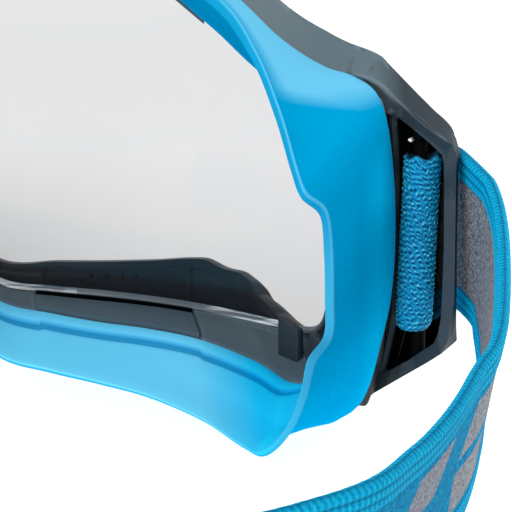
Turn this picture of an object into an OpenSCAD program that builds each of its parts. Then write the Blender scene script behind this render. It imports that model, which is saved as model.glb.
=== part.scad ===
// Panoramic safety overglasses with a soft face seal and an elastic headband.
// Millimetres. +X is the wearer's right, +Y points out through the lens, +Z is up.
// The goggles stand on z = 0 with the headband loop lying behind them.

/* [Lens] */
// Inner radius of the cylindrical lens
lens_r = 95; // [94:0.5:96]
// Thickness of the lens
lens_t = 2.0; // [1.6:0.1:2.2]
// How far the lens edge reaches past the clear opening
lens_lap = 2.5; // [2:0.1:2.7]

/* [Frame] */
// Depth of the front bezel in front of the lens
bezel_d = 5.5; // [4:0.1:6]
// Width of the rim that surrounds the bezel
rim_w = 1.8; // [1.6:0.1:2]
// Clearance around the lens and bezel so that they pull off forwards
slip = 0.3; // [0.2:0.05:0.4]

/* [Face seal] */
// Wall thickness of the soft seal near its free edge
seal_t = 2.0; // [1.6:0.1:2.4]
// Outward bulge of the seal wall
seal_bulge = 1.2; // [0:0.1:2]

/* [Outrigger] */
// Angle of the outrigger plate to the X axis, in degrees
wing_a = -56.3; // [-57:0.1:-55.5]
// Thickness of the outrigger plate and rim
wing_t = 3.9; // [3.6:0.1:4.2]
// Radius of the strap pin
pin_r = 1.2; // [1:0.05:1.3]
// Radial running clearance on the strap pin
pin_clear = 0.05; // [0.03:0.01:0.08]
// Outer radius of the strap's looped end
loop_r = 3.2; // [3:0.05:3.3]

/* [Headband] */
// Width of the webbing at the loops
strap_w = 30; // [29:0.5:30]
// Thickness of one layer of webbing
strap_t = 1.8; // [1.6:0.1:2]
// Distance of the adjuster from the front of the straight run
slider_at = 20; // [14:1:26]

/* [Hidden] */
$fn = 64;

oy = 61;             // the lens axis frame is moved forwards by this much
ax_y = -59;          // y of the lens cylinder's axis
sub = 3;             // spline steps between two stations
rs = lens_r - 0.2;   // radius of the lens seat
rf = lens_r + lens_t + 0.5; // radius of the bezel's back face
ro = rf + bezel_d;   // radius of the bezel's front edge
re = 101;            // radius at which the outer outline is drawn

// Stations run from the top centre round the side to the nose.
// Free edge of the seal, against the face.
RIM = [[0,2,80],[20,0,79],[39,-5,75.5],[52.5,-11,68.3],[58.3,-18,60.8],[61.6,-25,52.5],[63.6,-31.5,45],
    [64.9,-34,41.5],[68.3,-30,37.8],[69.4,-27,31],[69.6,-27,23.5],[69.3,-28.5,18],[66.1,-36,16],
    [64.5,-40,11.6],[62.5,-40.5,6.5],[60,-39,2.2],[55.5,-34,2.2],[50,-25.5,4],[42,-15.5,5.2],
    [34,-8.5,5.8],[26,-3.5,6.6],[18,-0.5,8.4],[9.6,1.8,15],[0,2.8,20]];
// Outer edge where the seal meets the carrier frame.
JO = [[0,24,84.5],[20,22.5,83.5],[40,18,78],[55,11,68.5],[64.5,6,60.8],[71,2,56.6],[75.8,-1,54.3],
    [79.5,-4,51.8],[81.3,-6.5,46.5],[82.2,-8,37],[82.3,-8.5,27],[81.6,-8.8,18.5],[79.8,-9,11],
    [77.6,-9.5,5],[74.6,-10,2],[70,-9,1.4],[63,-4,2.3],[53.5,2,5.5],[44,9,7],
    [35.5,13.5,7.5],[27,17.5,8],[18.5,20.5,9.5],[9.8,22.7,15.4],[0,23.7,20.6]];
// Inner edge where the seal meets the carrier frame.
JI = [[0,25,81],[19.5,23.5,80],[38.5,19,72],[52.5,12.5,61.5],[59.5,7,55.5],[65.5,2.8,51],[70.5,-0.5,48.5],
    [74.5,-3.5,46],[77,-6,43],[77.8,-7.5,36],[77.9,-8,27],[77.2,-8.3,19.5],[75.6,-8.5,13],
    [73.4,-9,8.6],[70.3,-9,5.8],[65.3,-8,5],[60,-2,7],[51,4,9.4],[42.5,10,9.9],
    [34.8,14.5,10],[26.8,18.3,10.7],[18.2,21.8,12],[9.6,23.9,17.8],[0,24.9,23.2]];
// Clear opening of the lens, as x and z on the lens radius.
OP = [[0,79],[20,78],[38.5,71.5],[52.5,62.5],[60.5,56],[65.6,51.5],[68.8,47.3],[70.8,43],[71.8,38.5],
    [72.2,33],[72.2,26.5],[72.3,20.5],[72.2,14.5],[71.6,11],[69.2,9.8],[64.6,9.9],[59,10.2],[51,10.6],
    [42.5,10.9],[34.8,11.1],[26.8,11.3],[18.2,12.2],[9.6,18],[0,23.5]];
// Outer outline of the carrier frame, as x and z on radius re.
OU = [[0,86.5],[20,85.5],[40,81],[56,72.5],[66,63.4],[73.4,59.3],[80.7,57],[81.6,52.6],[81.6,43.5],
    [81.6,35],[81.6,26],[81.6,17.5],[81.3,7.5],[79.8,0.9],[75.6,0],[69.5,0],[62,0],[53,0],
    [44,0],[36,0.5],[27.5,1.6],[18.8,4.2],[9.9,10.4],[0,16]];
// Inner edge of the bezel, as x and z on radius re.
BI = [[0,77],[20,76],[39.5,70],[53.8,61.2],[62.2,54.6],[67.4,50.2],[71.4,46.2],[73.8,42.2],[74.8,38],
    [75.2,33],[75.2,27],[74.9,20.5],[74.3,14],[72.2,10.6],[68.2,11.2],[64.3,14.2],[60.9,17.2],[54.3,18.5],
    [45,17.2],[36.5,16.3],[28.2,15.8],[19,15.4],[10.3,20.4],[0,26.2]];
// Right-hand headband: upper and lower edges, from the outrigger to the back.
TR = [[94,-22,42.7],[94.7,-26.5,42],[94.7,-34.5,40.5],[94,-44,38.8],[92.6,-55.5,36.8],[90.6,-69,34.8],
    [88.5,-81,33.4],[86.2,-89.8,32.4],[83.4,-96.2,31.5],[80,-105.9,30.4],[75.9,-116.4,29.6],[70.9,-127,29.1],
    [62.8,-141,29],[45,-154.5,29],[25,-163.2,29.3],[0,-166,29.3]];
BR = [[94.4,-13.5,15.5],[94.3,-18.5,14],[93.7,-27,11.6],[92.2,-36.5,9.7],[89.9,-47.5,8],[87.3,-61,5.9],
    [83.7,-75,4.3],[80.4,-84,3.2],[76.7,-92,2.2],[72.1,-102,1.4],[67.3,-112.5,0.8],[62.4,-123,0.5],
    [54.5,-137,0.3],[38.5,-149.5,0.3],[21.5,-158,0.3],[0,-161,0.3]];
// Left-hand headband behind its straight run.
TL = [[-25,-163.2,29.3],[-45,-154.5,29],[-62.8,-140.5,29.2],[-75.3,-123.5,29.6],[-84,-108,30.6]];
BL = [[-21.5,-158,0.3],[-38.5,-149.5,0.3],[-54.5,-136.5,0.3],[-68.5,-118.5,0.5],[-79.2,-104,1]];
// Straight run of the left-hand headband, front and back, on its centre line.
SA = [-93.6,-27,28.4];
SB = [-91.4,-86,18];
// Sewn strap end outside the right pin: upper and lower edges.
ET = [[89.6,-2.2,42.4],[90.9,-4.4,43.2],[92,-7.2,43.6]];
EB = [[89.6,-1.2,13.4],[91,-3,15.2],[92.2,-5.2,16.6]];

function mxp(p) = len(p) == 2 ? [-p[0], p[1]] : [-p[0], p[1], p[2]];
function cr(a, b, c, d, t) = 0.5 * (2*b + (c - a)*t + (2*a - 5*b + 4*c - d)*t*t + (3*b - 3*c + d - a)*t*t*t);
function at(L, i) = i < 0 ? mxp(L[-i]) : i >= len(L) ? mxp(L[2*len(L) - 2 - i]) : L[i];
function half(L) = [for (i = [0 : len(L) - 2]) for (j = [0 : sub - 1]) cr(at(L, i-1), at(L, i), at(L, i+1), at(L, i+2), j/sub), L[len(L) - 1]];
function loop(L) = let (h = half(L), n = len(h)) concat(h, [for (i = [n - 2 : -1 : 1]) mxp(h[i])]);
function open_at(L, i) = i < 0 ? 2*L[0] - L[1] : i >= len(L) ? 2*L[len(L)-1] - L[len(L)-2] : L[i];
function run(L, k) = [for (i = [0 : len(L) - 2]) for (j = [0 : k - 1]) cr(open_at(L, i-1), open_at(L, i), open_at(L, i+1), open_at(L, i+2), j/k), L[len(L) - 1]];
function unit(v) = v / norm(v);
// A point of an outline drawn as x, z on radius r0, carried to radius r.
function cyl(p, r0, r) = let (s = p[0] / r0) [r*s, r*sqrt(1 - s*s) + ax_y, p[1]];
// The opening's outline pushed outwards by d, and the outer outline pulled in by d.
function grow(b, e, d) = let (q = e * lens_r / re) b + unit(q - b) * d;
function shrink(b, e, d) = let (q = b * re / lens_r) e + unit(q - e) * d;

// Triangles of a closed ring of sections.
function ring_faces(n, m) = [for (i = [0 : n - 1]) for (j = [0 : m - 1])
    let (a = i*m + j, b = i*m + (j+1)%m, c = ((i+1)%n)*m + (j+1)%m, d = ((i+1)%n)*m + j)
    each [[a, b, c], [a, c, d]]];
module ring(S) {
    polyhedron(points = [for (s = S) each s], faces = ring_faces(len(S), len(S[0])), convexity = 10);
}
// A strip of sections with flat ends.
module strip(S) {
    n = len(S); m = len(S[0]);
    polyhedron(points = [for (s = S) each s],
        faces = concat([for (i = [0 : n - 2]) for (j = [0 : m - 1])
            let (a = i*m + j, b = i*m + (j+1)%m, c = (i+1)*m + (j+1)%m, d = (i+1)*m + j) each [[a, b, c], [a, c, d]]],
            [[for (j = [m - 1 : -1 : 0]) j]], [[for (j = [0 : m - 1]) (n-1)*m + j]]), convexity = 10);
}
// A band between an upper and a lower edge curve, off to one side by d.
function band(T, B, t, d = 0) = let (n = len(T)) [for (i = [0 : n - 1])
    let (g = (T[min(i+1, n-1)] + B[min(i+1, n-1)] - T[max(i-1, 0)] - B[max(i-1, 0)]),
         w = T[i] - B[i], s = unit(cross(g, w)))
    [T[i] + s*(d - t/2), T[i] + s*(d + t/2), B[i] + s*(d + t/2), B[i] + s*(d - t/2)]];

RL = loop(RIM); JOL = loop(JO); JIL = loop(JI); OPL = loop(OP); BIL = loop(BI);
OUL = [for (p = loop(OU)) [p[0], max(p[1], 0)]];
N = len(RL);

// Straight run frame: direction, width and outward normal.
su = unit(SB - SA);
sw = unit([0, 0, 1] - su * su[2]);
sn = cross(sw, su) * -1;

module place() translate([0, oy, 0]) children();
module wing_frame(side) mirror([side < 0 ? 1 : 0, 0, 0]) translate([81, 1, 0]) rotate([0, 0, wing_a]) children();

// ---------------------------------------------------------------- face seal
function seal_section(i) = let (r = RL[i], o = JOL[i], n = JIL[i], a = unit(n - o), k = unit(r - (o + n)/2),
        m = (o*0.45 + r*0.55) - a*seal_bulge*0.6)
    [o, o*0.78 + r*0.22 - a*seal_bulge*0.6, m, r - a*seal_t*0.5 - k*0.6, r - a*seal_t*0.2, r + a*seal_t*0.35, r + a*seal_t*0.6 - k*0.8,
     m + a*seal_t*1.05, (n*0.8 + r*0.2) - a*0.2, n];
module face_seal() {
    color([0.0, 0.62, 0.86]) place() ring([for (i = [0 : N - 1]) seal_section(i)]);
}

// ------------------------------------------------------------ carrier frame
function carrier_section(i) = let (b = OPL[i], e = OUL[i], f = cyl(e, re, ro - 2)*0.8 + JOL[i]*0.2)
    [[f[0], f[1], b[1] > e[1] + 5 ? min(f[2], e[1]) : f[2]], JOL[i], JIL[i], cyl(b, lens_r, rs - 1), cyl(b, lens_r, rs), cyl(grow(b, e, lens_lap + slip), lens_r, rs),
     cyl(grow(b, e, lens_lap + slip), lens_r, rf - slip), cyl(shrink(b, e, rim_w), re, rf - slip),
     cyl(shrink(b, e, rim_w), re, ro - 1.5), cyl(shrink(b, e, 0.7), re, ro - 1.0), cyl(e, re, ro - 2)];
module carrier_frame() {
    color([0.22, 0.26, 0.29]) place() ring([for (i = [0 : N - 1]) carrier_section(i)]);
}

// -------------------------------------------------------------- lens gasket
module lens_gasket() {
    color([0.08, 0.09, 0.1]) place() ring([for (i = [0 : N - 1]) let (b = OPL[i], e = OUL[i])
        [cyl(grow(b, e, 0.4), lens_r, rs), cyl(grow(b, e, 0.4), lens_r, lens_r - 0.02),
         cyl(grow(b, e, 2.2), lens_r, lens_r - 0.02), cyl(grow(b, e, 2.2), lens_r, rs)]]);
}

// --------------------------------------------------------------------- lens
module lens() {
    color([0.85, 0.9, 0.93, 0.35]) place() intersection() {
        translate([0, ax_y, 0]) difference() {
            cylinder(r = lens_r + lens_t, h = 95, $fn = 180);
            translate([0, 0, -1]) cylinder(r = lens_r, h = 97, $fn = 180);
        }
        translate([0, 80, 0]) rotate([90, 0, 0]) linear_extrude(height = 100)
            polygon([for (i = [0 : N - 1]) grow(OPL[i], OUL[i], lens_lap)]);
    }
}

// --------------------------------------------------------------- lens bezel
function bezel_section(i) = let (b = OPL[i], e = OUL[i], n = BIL[i], o = shrink(b, e, rim_w + slip))
    [cyl(n, re, rf + 0.6), cyl(n*0.75 + o*0.25, re, rf), cyl(o, re, rf), cyl(o, re, ro - 1.2), cyl(o*0.8 + n*0.2, re, ro),
     cyl(n*0.75 + o*0.25, re, ro - 0.4), cyl(n, re, rf + 2.2)];
module lens_bezel() {
    color([0.13, 0.16, 0.18]) place() ring([for (i = [0 : N - 1]) bezel_section(i)]);
}

// --------------------------------------------------------------- lens clips
// Four upright tabs on the lower corners of the carrier, behind the lens.
module clip(x, w, z0, z1, d) {
    q = asin(x / lens_r);
    translate([0, ax_y, 0]) rotate([0, 0, -q]) translate([-w/2, rs - d, z0]) difference() {
        cube([w, 1.5, z1 - z0]);
        translate([0, -1, z1 - z0]) rotate([0, 24, 0]) cube([2*w, 4, 3]);
    }
}
module lens_clips() {
    color([0.22, 0.26, 0.29]) place() for (s = [0, 1]) mirror([s, 0, 0]) {
        clip(71.4, 4.4, 5.6, 14.6, 8.2);
        clip(75, 3.2, 6, 12.6, 7);
    }
}

// -------------------------------------------------------------- vent baffles
function along(L, a, b) = [for (i = [a : b]) half(L)[i]];
module baffle(a, b, dz, h, y0, y1) {
    I = along(JI, a, b); O = along(OP, a, b);
    strip([for (i = [0 : len(I) - 1]) let (p = I[i], q = cyl(O[i], lens_r, rs - 1.6), u = unit([q[0]-p[0], q[1]-p[1], q[2]-p[2]]), L = norm(q - p))
        [p + u*y0 + [0,0,dz], p + u*y0 + [0,0,dz + h], p + u*(L - y1) + [0,0,dz + h], p + u*(L - y1) + [0,0,dz]]]);
}
module lower_vent_baffle(side) {
    color([0.3, 0.31, 0.33]) place() mirror([side < 0 ? 1 : 0, 0, 0]) baffle(51, 61, -0.4, 1.3, 0.4, 4);
}
module lower_vent_baffle_right() lower_vent_baffle(1);
module lower_vent_baffle_left() lower_vent_baffle(-1);
module upper_vent_baffle() {
    color([0.3, 0.31, 0.33]) place() {
        h = baffle_top();
        strip(h);
    }
}
function baffle_top() = let (n = 2*sub + sub, idx = [for (i = [-n : n]) (i + N) % N])
    [for (k = idx) let (p = JIL[k], q = cyl(OPL[k], lens_r, rs - 1.6), u = unit(q - p), L = norm(q - p))
        [p + u*0.4 + [0,0,-0.9], p + u*0.4 + [0,0,0.4], p + u*(L - 3) + [0,0,0.4], p + u*(L - 3) + [0,0,-0.9]]];

// ---------------------------------------------------------------- outrigger
// Outline of the outrigger in its own plane: x runs outwards and backwards, y is height.
WING = [[-3,0],[-1.5,0],[2.3,2.3],[6.1,4.6],[11.1,7.6],[16.2,10.8],[17.6,12.9],[19.1,20],[19.7,27.6],[19.7,36.7],[19.2,44.2],
    [18.2,45.4],[10,48.7],[4.3,50.8],[0.3,52.2],[-3,53.4]];
// Its raised front part.
WING2 = [[-3,2],[2.3,4.4],[6.1,6.6],[11.1,9.6],[15.4,12.4],[19.2,20],[19.7,27.6],[19.7,36.7],[16.4,42.4],
    [14.9,44.6],[14.2,46.2],[12.6,48.4],[10.7,49.6],[5.7,51.9],[0.7,53.9],[-3,55.4]];
SLOT = [[0.6,6],[0.8,5.2],[1.4,4.9],[2.7,5.1],[4,5.8],[9.8,9.3],[14.2,12.2],[15.3,14.2],[15.9,17],[16.3,28],
    [16.1,41.8],[15.6,43.2],[9.4,46.3],[5.4,47.9],[4.8,47.9],[3.4,47.2],[3.5,46],[4.3,38],[4.3,20],[4,14],[2.4,10.3]];
// Side of the carrier that the outrigger meets, as x and height.
SEAT = [[60,-1],[78.4,-1],[80,1],[81.5,7],[81.85,17],[81.85,53],[80.95,57],[79,58.5],[79,62],[60,62]];
pin_x = 7.9; pin_y = 1.0;
pin_z0 = 6.8; pin_z1 = 48.6;
module outrigger(side) {
    color([0.24, 0.28, 0.31]) place() difference() {
        wing_frame(side) union() {
            translate([0, 0.4, 0]) rotate([90, 0, 0]) linear_extrude(height = 1.6) difference() {
                polygon(WING);
                polygon(SLOT);
            }
            translate([0, wing_t - 1.2, 0]) rotate([90, 0, 0]) linear_extrude(height = wing_t - 1.6) difference() {
                polygon(WING2);
                polygon(SLOT);
            }
        }
        // sloping back edge, over which the strap runs
        wing_frame(side) translate([19.2, -1.2, -1]) rotate([0, 0, 42.6]) translate([0, -4, 0]) cube([12, 16, 60]);
        // seat against the carrier
        mirror([side < 0 ? 1 : 0, 0, 0]) translate([0, 60, 0]) rotate([90, 0, 0]) linear_extrude(height = 120) polygon(SEAT);
        // sockets for the pin
        wing_frame(side) translate([pin_x, pin_y, pin_z0]) cylinder(r = pin_r, h = pin_z1 - pin_z0);
    }
}
module outrigger_right() outrigger(1);
module outrigger_left() outrigger(-1);

// ---------------------------------------------------------- outrigger cover
// Closes the strap housing on the outside; the strap leaves behind its back edge.
CV0 = [[-0.8,3.2],[1.2,3.2],[6,6.2],[7.6,7.6],[7.6,48],[4.2,49.4],[-0.8,51]];
CV1 = [[-0.8,5],[1.2,5.2],[6,9],[7.4,10.4],[7.4,42.6],[4.2,44],[-0.8,45.6]];
module slab(P, y, t) translate([0, y, 0]) rotate([90, 0, 0]) linear_extrude(height = t) polygon(P);
module outrigger_cover(side) {
    color([0.16, 0.19, 0.21]) place() wing_frame(side) difference() {
        hull() { slab(CV0, 2.8, 0.1); slab(CV1, 8.0, 0.6); }
        hull() {
            slab([[1.2,6.6],[9,9.6],[9,46.4],[4.2,47],[1.2,47.8]], 2.6, 0.5);
            slab([[1.2,8.4],[9,11],[9,42.9],[4.2,43.8],[1.2,44.4]], 7.15, 0.4);
        }
    }
}
module outrigger_cover_right() outrigger_cover(1);
module outrigger_cover_left() outrigger_cover(-1);

// ------------------------------------------------------- strap pin and loop
module strap_pin(side) {
    color([0.75, 0.77, 0.8]) place() wing_frame(side)
        translate([pin_x, pin_y, pin_z0]) cylinder(r = pin_r, h = pin_z1 - pin_z0);
}
module strap_pin_right() strap_pin(1);
module strap_pin_left() strap_pin(-1);
module strap_loop(side) {
    color([0.05, 0.5, 0.75]) place() wing_frame(side) translate([pin_x, pin_y, 12.4]) difference() {
        cylinder(r = loop_r, h = strap_w - 0.2);
        translate([0, 0, -1]) cylinder(r = pin_r + pin_clear, h = strap_w + 2);
    }
}
module strap_loop_right() strap_loop(1);
module strap_loop_left() strap_loop(-1);

// --------------------------------------------------------- sewn strap ends
module strap_end(side) {
    color([0.0, 0.56, 0.8]) place() mirror([side < 0 ? 1 : 0, 0, 0]) strip(band(run(ET, 3), run(EB, 3), strap_t));
}
module strap_end_right() strap_end(1);
module strap_end_left() strap_end(-1);

// ------------------------------------------------------------------ headband
slen = norm(SB - SA);
function run_pt(s, v) = SA + su*s + sw*v;
module headband() {
    T = concat([[-93.9,-22,42.9]], [for (k = [0 : 6]) run_pt(slen*k/6, strap_w/2)], [for (k = [len(TL)-1 : -1 : 0]) TL[k]]);
    B = concat([[-94.3,-13.5,15.2]], [for (k = [0 : 6]) run_pt(slen*k/6, -strap_w/2)], [for (k = [len(BL)-1 : -1 : 0]) BL[k]]);
    rT = [for (k = [len(TR)-1 : -1 : 0]) TR[k]];
    rB = [for (k = [len(BR)-1 : -1 : 0]) BR[k]];
    TT = concat([T[0]], [for (k = [1 : 7]) T[k]], run([for (k = [8 : len(T)-1]) T[k]], 3), run(rT, 3));
    BB = concat([B[0]], [for (k = [1 : 7]) B[k]], run([for (k = [8 : len(B)-1]) B[k]], 3), run(rB, 3));
    color([0.0, 0.58, 0.83]) place() strip(band(TT, BB, strap_t));
}
module return_strap_left() {
    T = [for (k = [0 : 5]) run_pt(-4 + (slider_at + 8)*k/5, strap_w/2)];
    B = [for (k = [0 : 5]) run_pt(-4 + (slider_at + 8)*k/5, -strap_w/2)];
    color([0.0, 0.56, 0.8]) place() strip(band(T, B, strap_t, strap_t + 0.25));
}

// ----------------------------------------------------------- adjuster slider
// Ladder slider: two side rails, two outer bars and one inner centre bar.
module adjuster_slider() {
    hw = strap_w/2 + 0.4;
    c = run_pt(slider_at, 0);
    color([0.2, 0.23, 0.26]) place() multmatrix([
        [su[0], sn[0], sw[0], c[0]], [su[1], sn[1], sw[1], c[1]], [su[2], sn[2], sw[2], c[2]], [0, 0, 0, 1]]) union() {
        for (s = [-1, 1]) translate([-9, -2.9, s > 0 ? hw : -hw - 2.8]) cube([18, 7.5, 2.8]);
        for (x = [-9, 5.8]) translate([x, 3.3, -hw]) cube([3.2, 1.3, 2*hw]);
        translate([-1.8, -2.9, -hw]) cube([3.6, 1.7, 2*hw]);
    }
}

face_seal();
carrier_frame();
lens_gasket();
lens();
lens_bezel();
lens_clips();
lower_vent_baffle_right();
lower_vent_baffle_left();
upper_vent_baffle();
outrigger_right();
outrigger_left();
outrigger_cover_right();
outrigger_cover_left();
strap_pin_right();
strap_pin_left();
strap_loop_right();
strap_loop_left();
strap_end_right();
strap_end_left();
headband();
return_strap_left();
adjuster_slider();
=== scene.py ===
import bpy, bmesh, math
import numpy as np
from mathutils import Vector, Matrix


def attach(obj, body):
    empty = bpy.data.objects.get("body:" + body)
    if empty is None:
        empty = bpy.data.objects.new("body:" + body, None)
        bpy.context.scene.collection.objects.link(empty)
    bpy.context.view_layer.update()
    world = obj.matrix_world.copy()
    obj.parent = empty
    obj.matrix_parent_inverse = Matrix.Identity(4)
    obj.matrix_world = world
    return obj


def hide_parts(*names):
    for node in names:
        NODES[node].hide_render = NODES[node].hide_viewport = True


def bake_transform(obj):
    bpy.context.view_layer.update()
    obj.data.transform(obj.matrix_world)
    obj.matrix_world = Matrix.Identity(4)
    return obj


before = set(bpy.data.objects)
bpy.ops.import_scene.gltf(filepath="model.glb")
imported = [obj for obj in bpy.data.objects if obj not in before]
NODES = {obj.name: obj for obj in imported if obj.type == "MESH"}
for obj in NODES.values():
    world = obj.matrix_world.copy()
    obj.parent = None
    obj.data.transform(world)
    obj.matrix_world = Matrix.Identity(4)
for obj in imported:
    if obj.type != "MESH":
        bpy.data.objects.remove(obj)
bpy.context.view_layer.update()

OY = 61.0            # the goggle drawing's y origin in the row frame, mm
LENS_R, LENS_T, AX_Y = 95.0, 2.0, -59.0
RS, RF, RO, RE = LENS_R - 0.2, LENS_R + LENS_T + 0.5, LENS_R + LENS_T + 6.0, 101.0
LAP, RIMW, SLIP = 2.5, 1.8, 0.3

# ------------------------------------------------------------------ drawing
RIM = [[0,2,80],[20,0,79],[39,-5,75.5],[52.5,-11,68.3],[58.3,-18,60.8],[61.6,-25,52.5],[63.6,-31.5,45],
    [64.9,-34,41.5],[68.3,-30,37.8],[69.4,-27,31],[69.6,-27,23.5],[69.3,-28.5,18],[66.1,-36,16],
    [64.5,-40,11.6],[62.5,-40.5,6.5],[60,-39,2.2],[55.5,-34,2.2],[50,-25.5,4],[42,-15.5,5.2],
    [34,-8.5,5.8],[26,-3.5,6.6],[18,-0.5,8.4],[9.6,1.8,15],[0,2.8,20]]
JO = [[0,24,84.5],[20,22.5,83.5],[40,18,78],[55,11,68.5],[64.5,6,60.8],[71,2,56.6],[75.8,-1,54.3],
    [79.5,-4,51.8],[81.3,-6.5,46.5],[82.2,-8,37],[82.3,-8.5,27],[81.6,-8.8,18.5],[79.8,-9,11],
    [77.6,-9.5,5],[74.6,-10,2],[70,-9,1.4],[63,-4,2.3],[53.5,2,5.5],[44,9,7],
    [35.5,13.5,7.5],[27,17.5,8],[18.5,20.5,9.5],[9.8,22.7,15.4],[0,23.7,20.6]]
JI = [[0,25,81],[19.5,23.5,80],[38.5,19,72],[52.5,12.5,61.5],[59.5,7,55.5],[65.5,2.8,51],[70.5,-0.5,48.5],
    [74.5,-3.5,46],[77,-6,43],[77.8,-7.5,36],[77.9,-8,27],[77.2,-8.3,19.5],[75.6,-8.5,13],
    [73.4,-9,8.6],[70.3,-9,5.8],[65.3,-8,5],[60,-2,7],[51,4,9.4],[42.5,10,9.9],
    [34.8,14.5,10],[26.8,18.3,10.7],[18.2,21.8,12],[9.6,23.9,17.8],[0,24.9,23.2]]
OP = [[0,79],[20,78],[38.5,71.5],[52.5,62.5],[60.5,56],[65.6,51.5],[68.8,47.3],[70.8,43],[71.8,38.5],
    [72.2,33],[72.2,26.5],[72.3,20.5],[72.2,14.5],[71.6,11],[69.2,9.8],[64.6,9.9],[59,10.2],[51,10.6],
    [42.5,10.9],[34.8,11.1],[26.8,11.3],[18.2,12.2],[9.6,18],[0,23.5]]
OU = [[0,86.5],[20,85.5],[40,81],[56,72.5],[66,63.4],[73.4,59.3],[80.7,57],[81.6,52.6],[81.6,43.5],
    [81.6,35],[81.6,26],[81.6,17.5],[81.3,7.5],[79.8,0.9],[75.6,0],[69.5,0],[62,0],[53,0],
    [44,0],[36,0.5],[27.5,1.6],[18.8,4.2],[9.9,10.4],[0,16]]
BI = [[0,77],[20,76],[39.5,70],[53.8,61.2],[62.2,54.6],[67.4,50.2],[71.4,46.2],[73.8,42.2],[74.8,38],
    [75.2,33],[75.2,27],[74.9,20.5],[74.3,14],[72.2,10.6],[68.2,11.2],[64.3,14.2],[60.9,17.2],[54.3,18.5],
    [45,17.2],[36.5,16.3],[28.2,15.8],[19,15.4],[10.3,20.4],[0,26.2]]
TR = [[94,-22,42.7],[94.7,-26.5,42],[94.7,-34.5,40.5],[94,-44,38.8],[92.6,-55.5,36.8],[90.6,-69,34.8],
    [88.5,-81,33.4],[86.2,-89.8,32.4],[83.4,-96.2,31.5],[80,-105.9,30.4],[75.9,-116.4,29.6],[70.9,-127,29.1],
    [62.8,-141,29],[45,-154.5,29],[25,-163.2,29.3],[0,-166,29.3]]
BR = [[94.4,-13.5,15.5],[94.3,-18.5,14],[93.7,-27,11.6],[92.2,-36.5,9.7],[89.9,-47.5,8],[87.3,-61,5.9],
    [83.7,-75,4.3],[80.4,-84,3.2],[76.7,-92,2.2],[72.1,-102,1.4],[67.3,-112.5,0.8],[62.4,-123,0.5],
    [54.5,-137,0.3],[38.5,-149.5,0.3],[21.5,-158,0.3],[0,-161,0.3]]
TL = [[-25,-163.2,29.3],[-45,-154.5,29],[-62.8,-140.5,29.2],[-75.3,-123.5,29.6],[-84,-108,30.6]]
BL = [[-21.5,-158,0.3],[-38.5,-149.5,0.3],[-54.5,-136.5,0.3],[-68.5,-118.5,0.5],[-79.2,-104,1]]
SA, SB = np.array([-93.6,-27,28.4]), np.array([-91.4,-86,18])
ET = [[89.6,-2.2,42.4],[90.9,-4.4,43.2],[92,-7.2,43.6]]
EB = [[89.6,-1.2,13.4],[91,-3,15.2],[92.2,-5.2,16.6]]
WING = [[-3,0],[-1.5,0],[2.3,2.3],[6.1,4.6],[11.1,7.6],[16.2,10.8],[17.6,12.9],[19.1,20],[19.7,27.6],[19.7,36.7],[19.2,44.2],
    [18.2,45.4],[10,48.7],[4.3,50.8],[0.3,52.2],[-3,53.4]]
WING2 = [[-3,2],[2.3,4.4],[6.1,6.6],[11.1,9.6],[15.4,12.4],[19.2,20],[19.7,27.6],[19.7,36.7],[16.4,42.4],
    [14.9,44.5],[14.6,45.4],[13.9,46.7],[12.9,47.5],[10.9,48.5],[9.4,49.15],[7,50.4],[4.7,51.5],[0.7,53.6],[-1.85,54.9],[-3,55.4]]
SLOT = [[0.6,6],[0.8,5.2],[1.4,4.9],[2.7,5.1],[4,5.8],[9.8,9.3],[14.2,12.2],[15.3,14.2],[15.9,17],[16.3,28],
    [16.1,41.8],[15.6,43.2],[9.4,46.3],[5.4,47.9],[4.8,47.9],[3.4,47.2],[3.5,46],[4.3,38],[4.3,20],[4,14],[2.4,10.3]]
# the shoulder: far edge, ridge and near edge, first in the drawing's frame, then as (x, z) on the wing
SHF = [[77.02, 6.2, 57.85], [78.2, 4.9, 57.6], [79.24, 3.9, 57.22], [80.12, 2.9, 56.95], [80.99, 1.9, 56.48], [81.93, 1.5, 55.54]]
SHG = [[74.75, -0.35, 54.7], [75.81, -1.15, 54.46], [77.12, -2.1, 54.25], [78.24, -2.7, 53.95], [79.62, -3.0, 53.33], [80.94, -2.9, 52.32]]
SHL = [[74.78, -0.1, 54.3], [75.68, -0.9, 53.85], [76.89, -1.7, 53.3], [78.1, -2.6, 52.5], [79.46, -3.6, 51.19], [80.83, -4.6, 48.74]]
WF = [[0.7,53.73],[2.72,52.63],[4.73,51.54],[6.97,50.39],[9.38,49.15],[10.93,48.51],[12,48],[12.9,47.5],[13.64,46.95],[14.26,46.15]]
WG = [[5.03,50.37],[7.35,49.32],[9.58,48.31],[11.7,47.5],[13.3,46.95],[14.6,46.5],[15.8,46.15],[16.9,45.8],[17.7,45.55],[18.35,45.3]]
WL = [[4.6,47.95],[6.6,47.3],[8.7,46.5],[10.6,45.75],[12,45.2],[13.1,44.75],[14.1,44.35],[14.9,44.05],[15.5,43.75],[15.95,43.45]]
SEAT = [[78.4,-1],[80,1],[81.5,7],[81.85,17],[81.85,53],[80.95,57],[79,58.5],[79,62]]


# ------------------------------------------------------------------ helpers
def mm(p):
    p = np.asarray(p, float)
    return (p + np.array([0, OY, 0])) / 1000.0


def unit(v):
    v = np.asarray(v, float)
    return v / np.maximum(np.linalg.norm(v, axis=-1, keepdims=True), 1e-9)


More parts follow.
